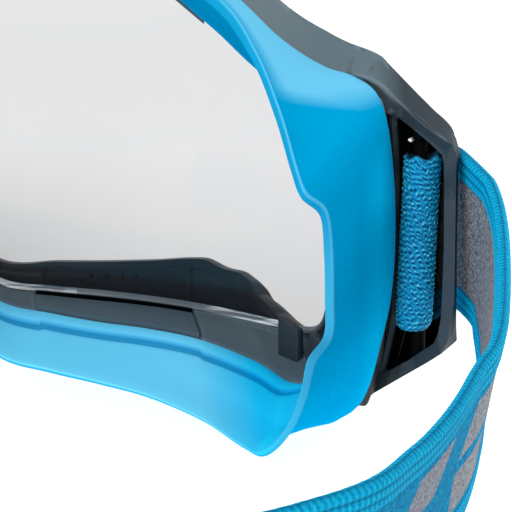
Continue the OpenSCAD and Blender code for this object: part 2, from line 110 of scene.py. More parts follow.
def loop(L, sub):
    """Closed Catmull-Rom curve through mirrored stations."""
    L = np.asarray(L, float)
    M = L[-2:0:-1].copy()
    M[:, 0] *= -1
    P = np.vstack([L, M])
    n = len(P)
    t = (np.arange(sub) / sub)[None, :, None]
    a, b, c, d = (np.roll(P, k, 0)[:, None] for k in (1, 0, -1, -2))
    q = 0.5 * (2*b + (c - a)*t + (2*a - 5*b + 4*c - d)*t*t + (3*b - 3*c + d - a)*t**3)
    return q.reshape(n * sub, -1)


def run(L, k):
    """Open Catmull-Rom curve."""
    L = np.asarray(L, float)
    P = np.vstack([2*L[0] - L[1], L, 2*L[-1] - L[-2]])
    t = (np.arange(k) / k)[None, :, None]
    a, b, c, d = (P[i:len(P) - 3 + i][:, None] for i in range(4))
    q = 0.5 * (2*b + (c - a)*t + (2*a - 5*b + 4*c - d)*t*t + (3*b - 3*c + d - a)*t**3)
    return np.vstack([q.reshape(-1, L.shape[1]), L[-1]])


def cyl(p, r0, r):
    s = p[:, 0] / r0
    r = np.broadcast_to(r, s.shape)
    return np.stack([r * s, r * np.sqrt(1 - s*s) + AX_Y, p[:, 1]], 1)


def grow(b, e, d):
    return b + unit(e * LENS_R / RE - b) * d


def shrink(b, e, d):
    return e + unit(b * RE / LENS_R - e) * d


def smooth(a, b, x):
    t = np.clip((np.asarray(x, float) - a) / (b - a), 0, 1)
    return t * t * (3 - 2 * t)


def dense(P, k):
    """Section points P (n, m, 3), closed round m, through a closed Catmull-Rom with k steps a side."""
    t = (np.arange(k) / k)[None, None, :, None]
    a, b, c, d = (np.roll(P, s, 1)[:, :, None] for s in (1, 0, -1, -2))
    q = 0.5 * (2*b + (c - a)*t + (2*a - 5*b + 4*c - d)*t*t + (3*b - 3*c + d - a)*t**3)
    return q.reshape(P.shape[0], -1, 3)


def make(name, V, F, mats, uv=None, fmat=None, sharp=35, recalc=True, attrs=None):
    me = bpy.data.meshes.new(name)
    me.from_pydata([tuple(v) for v in V], [], [tuple(int(i) for i in f) for f in F])
    for m in mats:
        me.materials.append(m)
    if fmat is not None:
        me.polygons.foreach_set("material_index", np.asarray(fmat, np.int32))
    if uv is not None:
        layer = me.uv_layers.new(name="UVMap")
        idx = np.zeros(len(me.loops), np.int32)
        me.loops.foreach_get("vertex_index", idx)
        layer.data.foreach_set("uv", np.asarray(uv, np.float32)[idx].ravel())
    for k, val in (attrs or {}).items():
        at = me.attributes.new(k, "FLOAT", "POINT")
        at.data.foreach_set("value", np.asarray(val, np.float32))
    if recalc:
        bm = bmesh.new(); bm.from_mesh(me)
        bmesh.ops.recalc_face_normals(bm, faces=bm.faces)
        bm.to_mesh(me); bm.free()
    me.update()
    me.shade_smooth()
    if sharp:
        me.set_sharp_from_angle(angle=math.radians(sharp))
    o = bpy.data.objects.new(name, me)
    bpy.context.scene.collection.objects.link(o)
    return o


def ring_faces(n, m, closed=True):
    idx = np.arange(n * m).reshape(n, m)
    a, b = idx, np.roll(idx, -1, 1)
    c, d = np.roll(b, -1, 0), np.roll(a, -1, 0)
    q = np.stack([a, b, c, d], -1)
    if not closed:
        q = q[:-1]
    return q.reshape(-1, 4).tolist()


def strip_faces(n, m):
    F = ring_faces(n, m, closed=False)
    return F + [list(range(m))[::-1], [(n - 1) * m + j for j in range(m)]]


def bevel(o, w, seg=2, angle=30):
    b = o.modifiers.new("edge", "BEVEL")
    b.width = w; b.segments = seg; b.limit_method = "ANGLE"; b.angle_limit = math.radians(angle)
    b.harden_normals = False
    return o


# ---------------------------------------------------------------- materials
class Mat:
    def __init__(s, name, base, rough, **k):
        s.m = bpy.data.materials.new(name); s.m.use_nodes = True
        s.t = s.m.node_tree
        s.b = s.t.nodes["Principled BSDF"]
        s.b.inputs["Base Color"].default_value = (*base, 1)
        s.b.inputs["Roughness"].default_value = rough
        for key, v in k.items():
            s.b.inputs[key].default_value = v
        s._xyz = {}

    def n(s, kind, **k):
        x = s.t.nodes.new(kind)
        for key, v in k.items():
            setattr(x, key, v)
        return x

    def link(s, a, b):
        s.t.links.new(a, b)

    def val(s, x, sock):
        if isinstance(x, (int, float)):
            sock.default_value = x
        else:
            s.link(x, sock)

    def math(s, op, a, b=None, c=None, clamp=False):
        x = s.n("ShaderNodeMath", operation=op, use_clamp=clamp)
        s.val(a, x.inputs[0])
        if b is not None: s.val(b, x.inputs[1])
        if c is not None: s.val(c, x.inputs[2])
        return x.outputs[0]

    def coord(s, which="Object"):
        if which not in s._xyz:
            tc = s.n("ShaderNodeTexCoord")
            sep = s.n("ShaderNodeSeparateXYZ")
            s.link(tc.outputs[which], sep.inputs[0])
            s._xyz[which] = (tc.outputs[which], sep.outputs[0], sep.outputs[1], sep.outputs[2])
        return s._xyz[which]

    def noise(s, scale, detail=3, rough=0.55, vec=None, dist=0.0):
        x = s.n("ShaderNodeTexNoise")
        x.inputs["Scale"].default_value = scale; x.inputs["Detail"].default_value = detail
        x.inputs["Roughness"].default_value = rough; x.inputs["Distortion"].default_value = dist
        s.link(vec if vec is not None else s.coord()[0], x.inputs["Vector"])
        return x.outputs["Fac"]

    def ramp(s, fac, stops, interp="LINEAR"):
        x = s.n("ShaderNodeValToRGB"); x.color_ramp.interpolation = interp
        e = x.color_ramp.elements
        while len(e) < len(stops): e.new(0.5)
        for el, (p, c) in zip(e, stops):
            el.position = p
            el.color = (*c, 1) if len(c) == 3 else c
        s.link(fac, x.inputs[0])
        return x.outputs[0]

    def mix(s, fac, a, b, blend="MIX"):
        x = s.n("ShaderNodeMix", data_type="RGBA", blend_type=blend)
        s.val(fac, x.inputs[0])
        for v, i in ((a, 6), (b, 7)):
            if isinstance(v, tuple): x.inputs[i].default_value = (*v, 1)
            else: s.link(v, x.inputs[i])
        return x.outputs[2]

    def bump(s, height, strength, dist, prev=None):
        x = s.n("ShaderNodeBump")
        x.inputs["Strength"].default_value = strength
        x.inputs["Distance"].default_value = dist
        s.link(height, x.inputs["Height"])
        if prev is not None: s.link(prev, x.inputs["Normal"])
        s.link(x.outputs[0], s.b.inputs["Normal"])
        return x.outputs[0]

    def color(s, c): s.link(c, s.b.inputs["Base Color"])
    def rough(s, c): s.link(c, s.b.inputs["Roughness"])


def plastic(name, base, rough, grain=0.35, light=1.25, dark=False, gloss=0.5, near=None):
    """Fine moulded texture, faint colour drift, and a paler rubbed edge."""
    m = Mat(name, base, rough, **{"Specular IOR Level": gloss})
    drift = m.noise(60, 4, 0.6)
    fine = m.noise(1800, 2, 0.7)
    scuff = m.noise(420, 5, 0.7, dist=0.6)
    col = m.mix(drift, tuple(0.86 * x for x in base), tuple(min(1, 1.12 * x) for x in base))
    geo = m.n("ShaderNodeNewGeometry")
    edge = m.math("MULTIPLY", m.math("SUBTRACT", geo.outputs["Pointiness"], 0.515, clamp=True), 9.0, clamp=True)
    edge = m.math("MULTIPLY", edge, m.math("ADD", m.math("MULTIPLY", scuff, 0.7), 0.3), clamp=True)
    # near: the frame's own colour, kept where an outrigger meets the frame; elsewhere the darker base is painted shade
    if near is not None:
        o, x, y, z = m.coord("Object")
        wn = m.math("SUBTRACT", 1.0, m.math("MULTIPLY", m.math("SUBTRACT", m.math("ABSOLUTE", x), 0.0785, clamp=True), 180.0, clamp=True), clamp=True)
        wn = m.math("MULTIPLY", wn, m.math("GREATER_THAN", z, 0.046))
        col = m.mix(wn, col, near)
    col = m.mix(edge, col, tuple(min(1, light * x + 0.03) for x in base))
    # the 'dark' attribute paints shade: near black, with no specular, where shade falls; the crest attribute paints a
    # highlight, paler along a ridge or crest
    if dark:
        at = m.n("ShaderNodeAttribute"); at.attribute_name = "dark"
        col = m.mix(at.outputs["Fac"], col, (0.0015, 0.0018, 0.002))
        m.link(m.math("SUBTRACT", gloss, m.math("MULTIPLY", at.outputs["Fac"], gloss)), m.b.inputs["Specular IOR Level"])
        cr = m.n("ShaderNodeAttribute"); cr.attribute_name = "crest_highlight"
        col = m.mix(m.math("MULTIPLY", cr.outputs["Fac"], m.math("ADD", m.math("MULTIPLY", scuff, 0.35), 0.10)), col, (0.30, 0.34, 0.38))
    m.color(col)
    m.rough(m.math("ADD", m.math("MULTIPLY", m.math("SUBTRACT", scuff, 0.5), 0.22), rough, clamp=True))
    m.bump(fine, grain, 0.00006)
    return m


M_FRAME = plastic("frame_plastic", (0.096, 0.138, 0.160), 0.55, dark=True, gloss=0.12)
M_CLIP = plastic("clip_plastic", (0.020, 0.025, 0.030), 0.5, gloss=0.35)
# the outrigger is the frame's plastic painted darker, as shade on the wing
M_OUTR = plastic("outrigger_plastic", (0.030, 0.044, 0.054), 0.55, dark=True, gloss=0.13, near=(0.096, 0.138, 0.160))
M_COVER = plastic("cover_plastic", (0.038, 0.054, 0.066), 0.55, gloss=0.15)


def paint_housing_shade(m, sides):
    """The strap housing's inner walls, told by which way they face, are painted black as shade, with no specular."""
    geo = m.n("ShaderNodeNewGeometry")
    o, x, y, z = m.coord("Object")
    dot = m.n("ShaderNodeVectorMath", operation="MULTIPLY")
    m.link(geo.outputs["True Normal"], dot.inputs[0]); dot.inputs[1].default_value = (1, 1, 0)
    sep = m.n("ShaderNodeSeparateXYZ"); m.link(dot.outputs[0], sep.inputs[0])
    sx = m.math("SIGN", x)
    d = m.math("ADD", m.math("MULTIPLY", m.math("MULTIPLY", sep.outputs[0], sx), 0.832), m.math("MULTIPLY", sep.outputs[1], 0.5548))
    w = m.math("LESS_THAN", d, 0.25)
    src = m.b.inputs["Base Color"].links[0].from_socket
    m.color(m.mix(w, src, (0.0012, 0.0014, 0.0016)))
    m.link(m.math("SUBTRACT", 0.15, m.math("MULTIPLY", w, 0.15)), m.b.inputs["Specular IOR Level"])


paint_housing_shade(M_COVER, 1)
M_BAFFLE = plastic("baffle_plastic", (0.064, 0.100, 0.122), 0.6, gloss=0.1)
M_BEZEL = plastic("bezel_plastic", (0.005, 0.014, 0.018), 0.36, grain=0.18, dark=True, gloss=0.3)
M_SLIDER = plastic("slider_plastic", (0.030, 0.036, 0.042), 0.4)


def seal_material():
    base = (0.0, 0.36, 0.70)
    m = Mat("seal_rubber", base, 0.5, **{"Specular IOR Level": 0.0})
    m.b.inputs["Specular Tint"].default_value = (0.45, 0.9, 1.0, 1)
    drift = m.noise(35, 4, 0.55)
    fine = m.noise(2600, 2, 0.6)
    col = m.mix(drift, (0.0, 0.335, 0.64), (0.0, 0.36, 0.685))
    o, x, y, z = m.coord("Object")
    # painted shade: the seal darkens lower down and is lighter at the top
    lower_shade = m.math("MULTIPLY", m.math("SUBTRACT", 0.045, z, clamp=True), 28.0, clamp=True)
    col = m.mix(lower_shade, (0.0, 0.295, 0.565), m.mix(drift, (0.0, 0.385, 0.735), (0.0, 0.41, 0.78)))
    # painted light: the lower part of the far side wall is made lighter
    far = m.math("MULTIPLY", m.math("SUBTRACT", m.math("ABSOLUTE", x), 0.0755, clamp=True), 300.0, clamp=True)
    col = m.mix(m.math("MULTIPLY", far, m.math("MULTIPLY", m.math("SUBTRACT", 0.0455, z, clamp=True), 110.0, clamp=True)), col, (0.0, 0.49, 0.86))
    # painted highlight on the brow: the outer rows marked pale turn paler higher up
    zz_ = m.math("SUBTRACT", z, m.math("MULTIPLY", m.math("SUBTRACT", 0.050, y, clamp=True), 0.35))
    brow_highlight = m.math("MULTIPLY", m.math("SUBTRACT", zz_, 0.0501, clamp=True), 330.0, clamp=True)
    ap = m.n("ShaderNodeAttribute"); ap.attribute_name = "pale"
    col = m.mix(m.math("MULTIPLY", brow_highlight, m.math("MULTIPLY", ap.outputs["Fac"], 0.95)), col, (0.13, 0.50, 0.74))
    # painted light on the inside of the bottom wall, lightest near the middle
    af = m.n("ShaderNodeAttribute"); af.attribute_name = "floor"
    floor_light_fade = m.math("MULTIPLY", m.math("SUBTRACT", m.math("ABSOLUTE", x), 0.050, clamp=True), 110.0, clamp=True)
    col = m.mix(af.outputs["Fac"], col, m.mix(floor_light_fade, (0.16, 0.70, 0.98), (0.01, 0.61, 0.965)))
    at = m.n("ShaderNodeAttribute"); at.attribute_name = "lip"
    col = m.mix(m.math("MULTIPLY", at.outputs["Fac"], 0.6), col, (0.07, 0.43, 0.66))
    # painted highlight: a pale line along the lip's edges
    al = m.n("ShaderNodeAttribute"); al.attribute_name = "rim_highlight"
    col = m.mix(m.math("MULTIPLY", al.outputs["Fac"], 0.55), col, (0.16, 0.60, 0.85))
    # painted shade in the channel under the raised border
    ag = m.n("ShaderNodeAttribute"); ag.attribute_name = "groove_shade"
    col = m.mix(m.math("MULTIPLY", ag.outputs["Fac"], 0.8), col, (0.0, 0.27, 0.56))
    dust = m.noise(900, 6, 0.75)
    col = m.mix(m.math("MULTIPLY", m.math("GREATER_THAN", dust, 0.66), 0.08), col, (0.15, 0.58, 0.85))
    m.color(col)
    m.rough(m.math("ADD", m.math("MULTIPLY", drift, 0.12), 0.36, clamp=True))
    m.bump(fine, 0.3, 0.00005)
    return m


M_SEAL = seal_material()


def knit_height(m, u, v, pitch_v=0.95, pitch_u=1.5, wave=0.75):
    """Ribs along u, pitch in mm across v, wandering as knitted elastic does."""
    tau = 2 * math.pi
    n1 = m.noise(0.9, 3, 0.6, vec=m.uvvec)
    n2 = m.noise(3.2, 3, 0.6, vec=m.uvvec)
    wob = m.math("MULTIPLY", m.math("SINE", m.math("MULTIPLY", u, tau / pitch_u)), wave)
    wob = m.math("ADD", wob, m.math("MULTIPLY", m.math("SUBTRACT", n1, 0.5), 5.0))
    wob = m.math("ADD", wob, m.math("MULTIPLY", m.math("SUBTRACT", n2, 0.5), 3.0))
    rib = m.math("SINE", m.math("ADD", m.math("MULTIPLY", v, tau / pitch_v), wob))
    rib = m.math("ADD", m.math("MULTIPLY", rib, 0.5), 0.5)
    st = m.math("SINE", m.math("ADD", m.math("MULTIPLY", u, tau / 0.72), m.math("MULTIPLY", v, tau / 1.9)))
    st = m.math("ADD", m.math("MULTIPLY", st, 0.5), 0.5)
    return rib, st, n1, n2


def fabric(name, motif=False, inner=False):
    m = Mat(name, (0.0, 0.30, 0.64), 0.75, **{"Specular IOR Level": 0.04, "Sheen Weight": 0.0})
    m.b.inputs["Sheen Tint"].default_value = (0.75, 0.92, 1.0, 1) if not inner else (1, 1, 1, 1)
    uvn = m.n("ShaderNodeUVMap"); uvn.uv_map = "UVMap"
    m.uvvec = uvn.outputs[0]
    sep = m.n("ShaderNodeSeparateXYZ"); m.link(uvn.outputs[0], sep.inputs[0])
    u, v = sep.outputs[0], sep.outputs[1]
    rib, st, n1, n2 = knit_height(m, u, v)
    tau = 2 * math.pi
    fuzz = m.noise(9.0, 4, 0.7, vec=m.uvvec)
    cellv = m.n("ShaderNodeTexVoronoi"); cellv.inputs["Scale"].default_value = 1.7; cellv.inputs["Randomness"].default_value = 1.0
    m.link(m.uvvec, cellv.inputs["Vector"])
    knot = m.math("SUBTRACT", 1.0, m.math("MULTIPLY", cellv.outputs["Distance"], 1.35), clamp=True)
    grain = m.math("MULTIPLY", m.math("SUBTRACT", m.noise(3.0, 5, 0.8, vec=m.uvvec), 0.35), 3.3, clamp=True)
    dark, mid, lite = (0.0, 0.14, 0.33), (0.0, 0.33, 0.60), (0.05, 0.58, 0.80)
    blue = m.ramp(m.math("ADD", m.math("MULTIPLY", knot, 0.65), m.math("MULTIPLY", grain, 0.35)),
                  [(0.10, (0.0, 0.18, 0.40)), (0.5, (0.0, 0.38, 0.70)), (0.95, (0.02, 0.58, 0.90))])
    # the last 5 mm at each side are ribbed borders
    edge_d = m.math("SUBTRACT", 15.0, m.math("ABSOLUTE", m.math("SUBTRACT", v, 15.0)))
    border = m.math("LESS_THAN", edge_d, 4.9)
    tw = m.math("SINE", m.math("ADD", m.math("MULTIPLY", u, tau / 1.15), m.math("MULTIPLY", v, tau / 3.2)))
    tw = m.math("ADD", m.math("MULTIPLY", tw, 0.5), 0.5)
    bcol = m.ramp(m.math("ADD", m.math("MULTIPLY", tw, 0.4), m.math("MULTIPLY", grain, 0.6)),
                  [(0.1, (0.0, 0.25, 0.58)), (0.5, (0.0, 0.52, 0.95)), (0.9, (0.03, 0.86, 1.0))])
    if inner:
        # loop-pile back: pale grey with dark flecks
        cell = m.n("ShaderNodeTexVoronoi"); cell.inputs["Scale"].default_value = 1.35
        cell.inputs["Randomness"].default_value = 1.0
        m.link(m.uvvec, cell.inputs["Vector"])
        fl = m.math("MULTIPLY", m.math("SUBTRACT", m.noise(1.9, 4, 0.75, vec=m.uvvec), 0.42), 3.2, clamp=True)
        g = m.math("ADD", m.math("MULTIPLY", knot, 0.45), m.math("MULTIPLY", grain, 0.55))
        grey = m.ramp(g, [(0.10, (0.06, 0.06, 0.075)), (0.42, (0.44, 0.45, 0.50)), (0.80, (1.0, 1.0, 1.0))])
        grey = m.mix(m.math("MULTIPLY", m.math("SUBTRACT", 1.0, fl, clamp=True), 0.6), grey, (0.06, 0.06, 0.072))
        o_, x_, y_, z_ = m.coord("Object")
        # painted light: the lower part of the back is paler
        lower_light = m.math("MULTIPLY", m.math("SUBTRACT", 0.017, z_, clamp=True), 160.0, clamp=True)
        centre = m.mix(m.math("MULTIPLY", lower_light, 0.5), grey, (0.9, 0.9, 0.93))
        m.b.inputs["Roughness"].default_value = 0.9
    elif motif:
        # generic woven pattern of slanted bars, in a regular brick layout
        U = m.math("MODULO", m.math("ADD", u, 403.0), 30.0)
        bar = m.math("ADD", m.math("MULTIPLY", m.math("ABSOLUTE", m.math("SUBTRACT", v, 15.0)), 0.42), U)
        bar = m.math("MODULO", bar, 30.0)
        jag = m.math("MULTIPLY", m.math("SUBTRACT", m.noise(2.2, 2, 0.5, vec=m.uvvec), 0.5), 1.2)
        bar = m.math("ADD", bar, jag)
        on = m.math("MULTIPLY", m.math("GREATER_THAN", bar, 4.0), m.math("LESS_THAN", bar, 21.0))
        inner_v = m.math("GREATER_THAN", m.math("ADD", edge_d, jag), 6.2)
        on = m.math("MULTIPLY", on, inner_v)
        mid_gap = m.math("GREATER_THAN", m.math("ABSOLUTE", m.math("SUBTRACT", v, 15.0)), 1.1)
        on = m.math("MULTIPLY", on, mid_gap)
        fl = m.noise(2.6, 4, 0.75, vec=m.uvvec)
        grey = m.ramp(m.math("ADD", m.math("MULTIPLY", knot, 0.35), m.math("MULTIPLY", grain, 0.65)),
                      [(0.08, (0.07, 0.07, 0.08)), (0.42, (0.36, 0.365, 0.39)), (0.80, (0.74, 0.75, 0.78))])
        centre = m.mix(on, blue, grey)
    else:
        centre = blue
    # the border's three cords, with painted shade between them
    cord = m.math("ABSOLUTE", m.math("SINE", m.math("MULTIPLY", edge_d, 3 * math.pi / 4.8)))
    bcol = m.mix(m.math("SUBTRACT", 1.0, m.math("POWER", cord, 0.45), clamp=True), bcol, (0.0, 0.13, 0.30))
    col = m.mix(border, centre, bcol)
    # the run behind the head is painted slightly darker, as shade
    if motif:
        o_, x_, y_, z_ = m.coord("Object")
        rear = m.math("MULTIPLY", m.math("SUBTRACT", 0.005, y_, clamp=True), 22.0, clamp=True)
        col = m.mix(m.math("MULTIPLY", rear, 0.30), col, (0.0, 0.06, 0.13))
    sh = m.n("ShaderNodeAttribute"); sh.attribute_name = "shade"
    col = m.mix(sh.outputs["Fac"], col, (0.0, 0.0, 0.0))
    m.color(col)
    h = m.math("ADD", m.math("MULTIPLY", knot, 0.9), m.math("ADD", m.math("MULTIPLY", grain, 0.45), m.math("MULTIPLY", rib, 0.12)))
    m.bump(h, 0.9, 0.00034)
    return m


M_WEB_OUT = fabric("webbing_outer", motif=True)
M_WEB_IN = fabric("webbing_inner", inner=True)
M_WEB = fabric("webbing_plain")


def knit():
    m = Mat("webbing_knit", (0.0, 0.30, 0.58), 0.6, **{"Specular IOR Level": 0.2})
    at = m.n("ShaderNodeAttribute"); at.attribute_name = "crest_highlight"
    fz = m.math("MULTIPLY", m.math("SUBTRACT", m.noise(2600, 4, 0.75), 0.35), 3.0, clamp=True)
    # painted light: the crest attribute makes rib crests pale, a painted highlight, and the valleys dark, painted shade
    col = m.ramp(m.math("ADD", m.math("MULTIPLY", at.outputs["Fac"], 0.68), m.math("MULTIPLY", fz, 0.34)),
                 [(0.14, (0.0, 0.06, 0.17)), (0.45, (0.0, 0.26, 0.54)), (0.70, (0.01, 0.50, 0.82)), (0.95, (0.28, 0.85, 1.0))])
    sh = m.n("ShaderNodeAttribute"); sh.attribute_name = "shade"
    m.color(m.mix(sh.outputs["Fac"], col, (0.0, 0.01, 0.02)))
    m.bump(fz, 0.6, 0.00012)
    return m


M_KNIT = knit()


def lens_material():
    m = Mat("lens_clear", (0.030, 0.033, 0.040), 0.04, **{"Specular IOR Level": 0.5, "IOR": 1.58})
    o, x, y, z = m.coord("Object")
    haze = m.noise(14, 3, 0.5)
    low = m.math("SUBTRACT", 1.0, m.math("DIVIDE", m.math("SUBTRACT", z, 0.018), 0.020), clamp=True)
    left = m.math("SUBTRACT", 1.0, m.math("DIVIDE", m.math("SUBTRACT", m.math("ABSOLUTE", x), 0.012), 0.032), clamp=True)
    a = m.math("ADD", 0.225, m.math("MULTIPLY", m.math("MULTIPLY", low, m.math("ADD", m.math("MULTIPLY", left, 0.55), 0.45)), 0.13))
    a = m.math("ADD", a, m.math("MULTIPLY", haze, 0.03))
    m.link(a, m.b.inputs["Alpha"])
    scr = m.noise(700, 2, 0.5)
    m.rough(m.math("ADD", m.math("MULTIPLY", scr, 0.05), 0.03))
    m.m.surface_render_method = "BLENDED"
    return m


M_LENS = lens_material()


def metal():
    m = Mat("pin_steel", (0.02, 0.02, 0.022), 0.5, **{"Specular IOR Level": 0.04})
    o, x, y, z = m.coord("Object")
    st = m.noise(300, 3, 0.6)
    drawn = m.n("ShaderNodeTexWave", wave_type="BANDS", bands_direction="Z")
    drawn.inputs["Scale"].default_value = 900; drawn.inputs["Distortion"].default_value = 2
    m.link(o, drawn.inputs["Vector"])
    m.rough(m.math("ADD", m.math("MULTIPLY", st, 0.2), 0.45))
    # painted glint: a crescent of the collar is white and glows; elsewhere the pin is dark steel painted near black, as
    # shade in the slot
    at = m.n("ShaderNodeAttribute"); at.attribute_name = "painted_glint"
    m.color(m.mix(at.outputs["Fac"], m.mix(st, (0.001, 0.001, 0.001), (0.003, 0.003, 0.004)), (1.0, 1.0, 1.0)))
    m.b.inputs["Emission Color"].default_value = (1, 1, 1, 1)
    m.link(m.math("MULTIPLY", at.outputs["Fac"], 0.35), m.b.inputs["Emission Strength"])
    m.bump(drawn.outputs["Fac"], 0.15, 0.00003)
    return m


M_PIN = metal()


def gasket_material():
    m = Mat("gasket_gloss", (0.10, 0.115, 0.125), 0.16, **{"Specular IOR Level": 0.7})
    n = m.noise(90, 4, 0.6, dist=1.0)
    o, x, y, z = m.coord("Object")
    st = m.n("ShaderNodeVectorMath", operation="MULTIPLY"); m.link(o, st.inputs[0]); st.inputs[1].default_value = (70, 70, 1500)
    # painted reflection: white streaks on the gasket, in two zones along it
    glint_streak = m.noise(1.0, 3, 0.6, vec=st.outputs[0])
    ax_ = m.math("ABSOLUTE", x)
    zone = m.math("MULTIPLY", m.math("MULTIPLY", m.math("SUBTRACT", ax_, 0.052, clamp=True), 240.0, clamp=True), m.math("MULTIPLY", m.math("SUBTRACT", 0.0685, ax_, clamp=True), 240.0, clamp=True), clamp=True)
    near = m.math("MULTIPLY", m.math("LESS_THAN", ax_, 0.031), 0.55)
    glint_streak = m.math("MULTIPLY", m.math("SUBTRACT", glint_streak, 0.47, clamp=True), 9.0, clamp=True)
    base_ = m.mix(n, (0.07, 0.085, 0.095), (0.19, 0.215, 0.235))
    m.color(m.mix(m.math("MULTIPLY", glint_streak, m.math("ADD", zone, near, clamp=True)), base_, (0.85, 0.88, 0.9)))
    m.rough(m.math("ADD", m.math("MULTIPLY", n, 0.18), 0.08))
    m.bump(m.noise(240, 3, 0.6), 0.35, 0.00012)
    return m


M_GASKET = gasket_material()

# ---------------------------------------------------------------- face seal
SUB = 20
JO, JI = np.array(JO, float), np.array(JI, float)
k_ = np.arange(24)
JO[:, 0] -= 0.40 * smooth(6.4, 7.4, k_) * (1 - smooth(11.6, 12.6, k_))
JO[13:16, 0] += (0.2, 0.6, 0.3); JO[13:16, 2] -= (0.3, 1.1, 0.7)
JO[3:7, 2] -= (0.8, 1.4, 1.1, 0.1)
RIM, OP = np.array(RIM, float), np.array(OP, float)
RIM[14] = [62.2, -40.5, 6.2]; RIM[15] = [58.6, -38.6, 2.1]
OP[8:13, 0] += (0.5, 0.8, 0.9, 0.9, 0.6)
R, A, B_ = loop(RIM, SUB), loop(JO, SUB), loop(JI, SUB)
BOP, EOU, NBI = loop(OP, SUB), loop(OU, SUB), loop(BI, SUB)
EOU[:, 1] = np.maximum(EOU[:, 1], 0)
N = len(R)


def stations(sub):
    s = np.arange(46 * sub) / sub
    return np.minimum(s, 46 - s)


def seal_piece():
    o, n, r = A, B_, R
    a = unit(n - o)
    k = unit(r - (o + n) / 2)
    m = (o * 0.45 + r * 0.55) - a * 0.72
    T = 2.0
    st = stations(SUB)
    # the free edge is a flat face at the temples and runs thin along the nose and brow
    thin = smooth(15.0, 16.6, st)[:, None]
    side_ = (smooth(2.8, 4.5, st) * (1 - smooth(15.0, 16.6, st)))[:, None]
    th = 1 - 0.62 * thin - side_ * (0.20 + 0.22 * (1 - smooth(7.0, 8.5, st))[:, None])
    to = 1 - 0.62 * thin - (0.42 * side_ + 0.25 * (smooth(12.5, 14.0, st) * (1 - smooth(15.0, 16.6, st)))[:, None])
    outer = [o, o * 0.9 + r * 0.1 - a * 0.45, o * 0.72 + r * 0.28 - a * 0.75, m, o * 0.27 + r * 0.73 - a * 0.78 * (th * 0.5 + to * 0.5) - a * 0.1,
             r - a * 1.02 * to - k * 2.2, r - a * 1.0 * to - k * 0.7, r - a * 1.0 * to - k * 0.32]
    # the outer face is hollow beside the lower corner
    up = (smooth(13.85, 14.45, st) * (1 - smooth(14.95, 15.35, st)))[:, None] * np.array([0, 0, 1.0])
    for j_, dz_ in ((3, 1.0), (4, 1.35), (5, 1.2), (6, 0.8), (7, 0.4)): outer[j_] = outer[j_] + up * dz_
    lip = [r - a * 0.97 * to - k * 0.12, r - a * 0.82 * to - k * 0.0, r - a * 0.3 * to, r + a * 0.4 * th, r + a * 0.85 * th - k * 0.03,
           r + a * 1.0 * th - k * 0.15, r + a * 1.03 * th - k * 0.4]
    inner = [r + a * (1.08 * th + 0.12 * thin) - k * 1.4, (r * 0.75 + n * 0.25) * 0.5 + (r * 0.8 + m * 0.2 + a * T * 0.8 * th) * 0.5, m + a * T * 1.0,
             (n * 0.55 + r * 0.45) * 0.5 + (m + a * T) * 0.5]
    for j_, dz_ in ((0, 0.4), (1, 0.9), (2, 1.0), (3, 0.6)): inner[j_] = inner[j_] + up * dz_
    d = unit(r - n)
    nn = unit(np.cross(np.roll(n, -1, 0) - np.roll(n, 1, 0), d))
    nn *= np.sign(np.sum(nn * a, 1))[:, None]
    # a raised border below the frame with a channel under it; it steps at the vent blocks
    x = np.abs(n[:, 0])
    low = (n[:, 2] < 12.5).astype(float)
    jog = (0.35 * (1 - smooth(24.8, 25.3, x)) + 0.35 * smooth(50.8, 51.3, x)) * low
    lw = smooth(14.3, 15.6, st)
    w = (1.15 + 2.6 * lw + jog * 2.2)[:, None]; gw = (1.0 + 1.6 * lw)[:, None]
    base = [n + d * (w + gw + 1.6) - a * 0.05, n + d * (w + gw + 0.55) + nn * 0.02, n + d * (w + gw + 0.25) - nn * 0.36, n + d * (w + 0.25) - nn * 0.42,
            n + d * w + nn * 0.22, n + d * (w - 0.25) + nn * 0.32, n + d * 0.5 + nn * 0.25, n + nn * 0.05, n]
    S = np.stack(outer + lip + inner + base, 1)
    mcount = S.shape[1]
    lipw = np.zeros((len(S), mcount)); l0 = len(outer)
    lipw[:, l0:l0 + 6] = 1.0; lipw[:, l0 + 6] = 0.5
    # the channel under the raised border takes painted shade
    grw = np.zeros((len(S), mcount)); g0 = mcount - 9
    grw[:, g0 + 1] = 0.25; grw[:, g0 + 2] = 1; grw[:, g0 + 3] = 1; grw[:, g0 + 4] = 0.35
    # floor marks the inside of the bottom wall for its painted light
    floor_light_mask = np.zeros((len(S), mcount)); floor_light_mask[:, l0 + 3:] = smooth(13.4, 15.0, st)[:, None]
    lipw[:, l0 + 2:] *= (1 - smooth(14.0, 15.5, st))[:, None]
    lipw *= (0.15 + 0.85 * smooth(7.5, 10.0, st))[:, None]
    # pale marks the outer rows that carry the painted brow highlight
    pale = np.zeros((len(S), mcount)); pale[:, :5] = 1.0; pale[:, 5] = 0.25
    # a painted highlight line along the lip's edges
    line = np.zeros((len(S), mcount)); line[:, l0 - 1:l0 + 2] = (0.9 * smooth(2.0, 3.5, st) * (1 - 0.6 * smooth(7.5, 10.0, st)) * (1 - 0.7 * smooth(10.5, 12.0, st)) * (1 - smooth(15.0, 16.0, st)))[:, None]
    return make("face_seal_skin", mm(S.reshape(-1, 3)), ring_faces(len(S), mcount), [M_SEAL.m], sharp=48,
                attrs={"lip": lipw.ravel(), "groove_shade": grw.ravel(), "floor": floor_light_mask.ravel(), "pale": pale.ravel(), "rim_highlight": line.ravel()})


seal = seal_piece()
bevel(seal, 0.00025, 2, 48)
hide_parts("face_seal"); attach(seal, "frame_body")


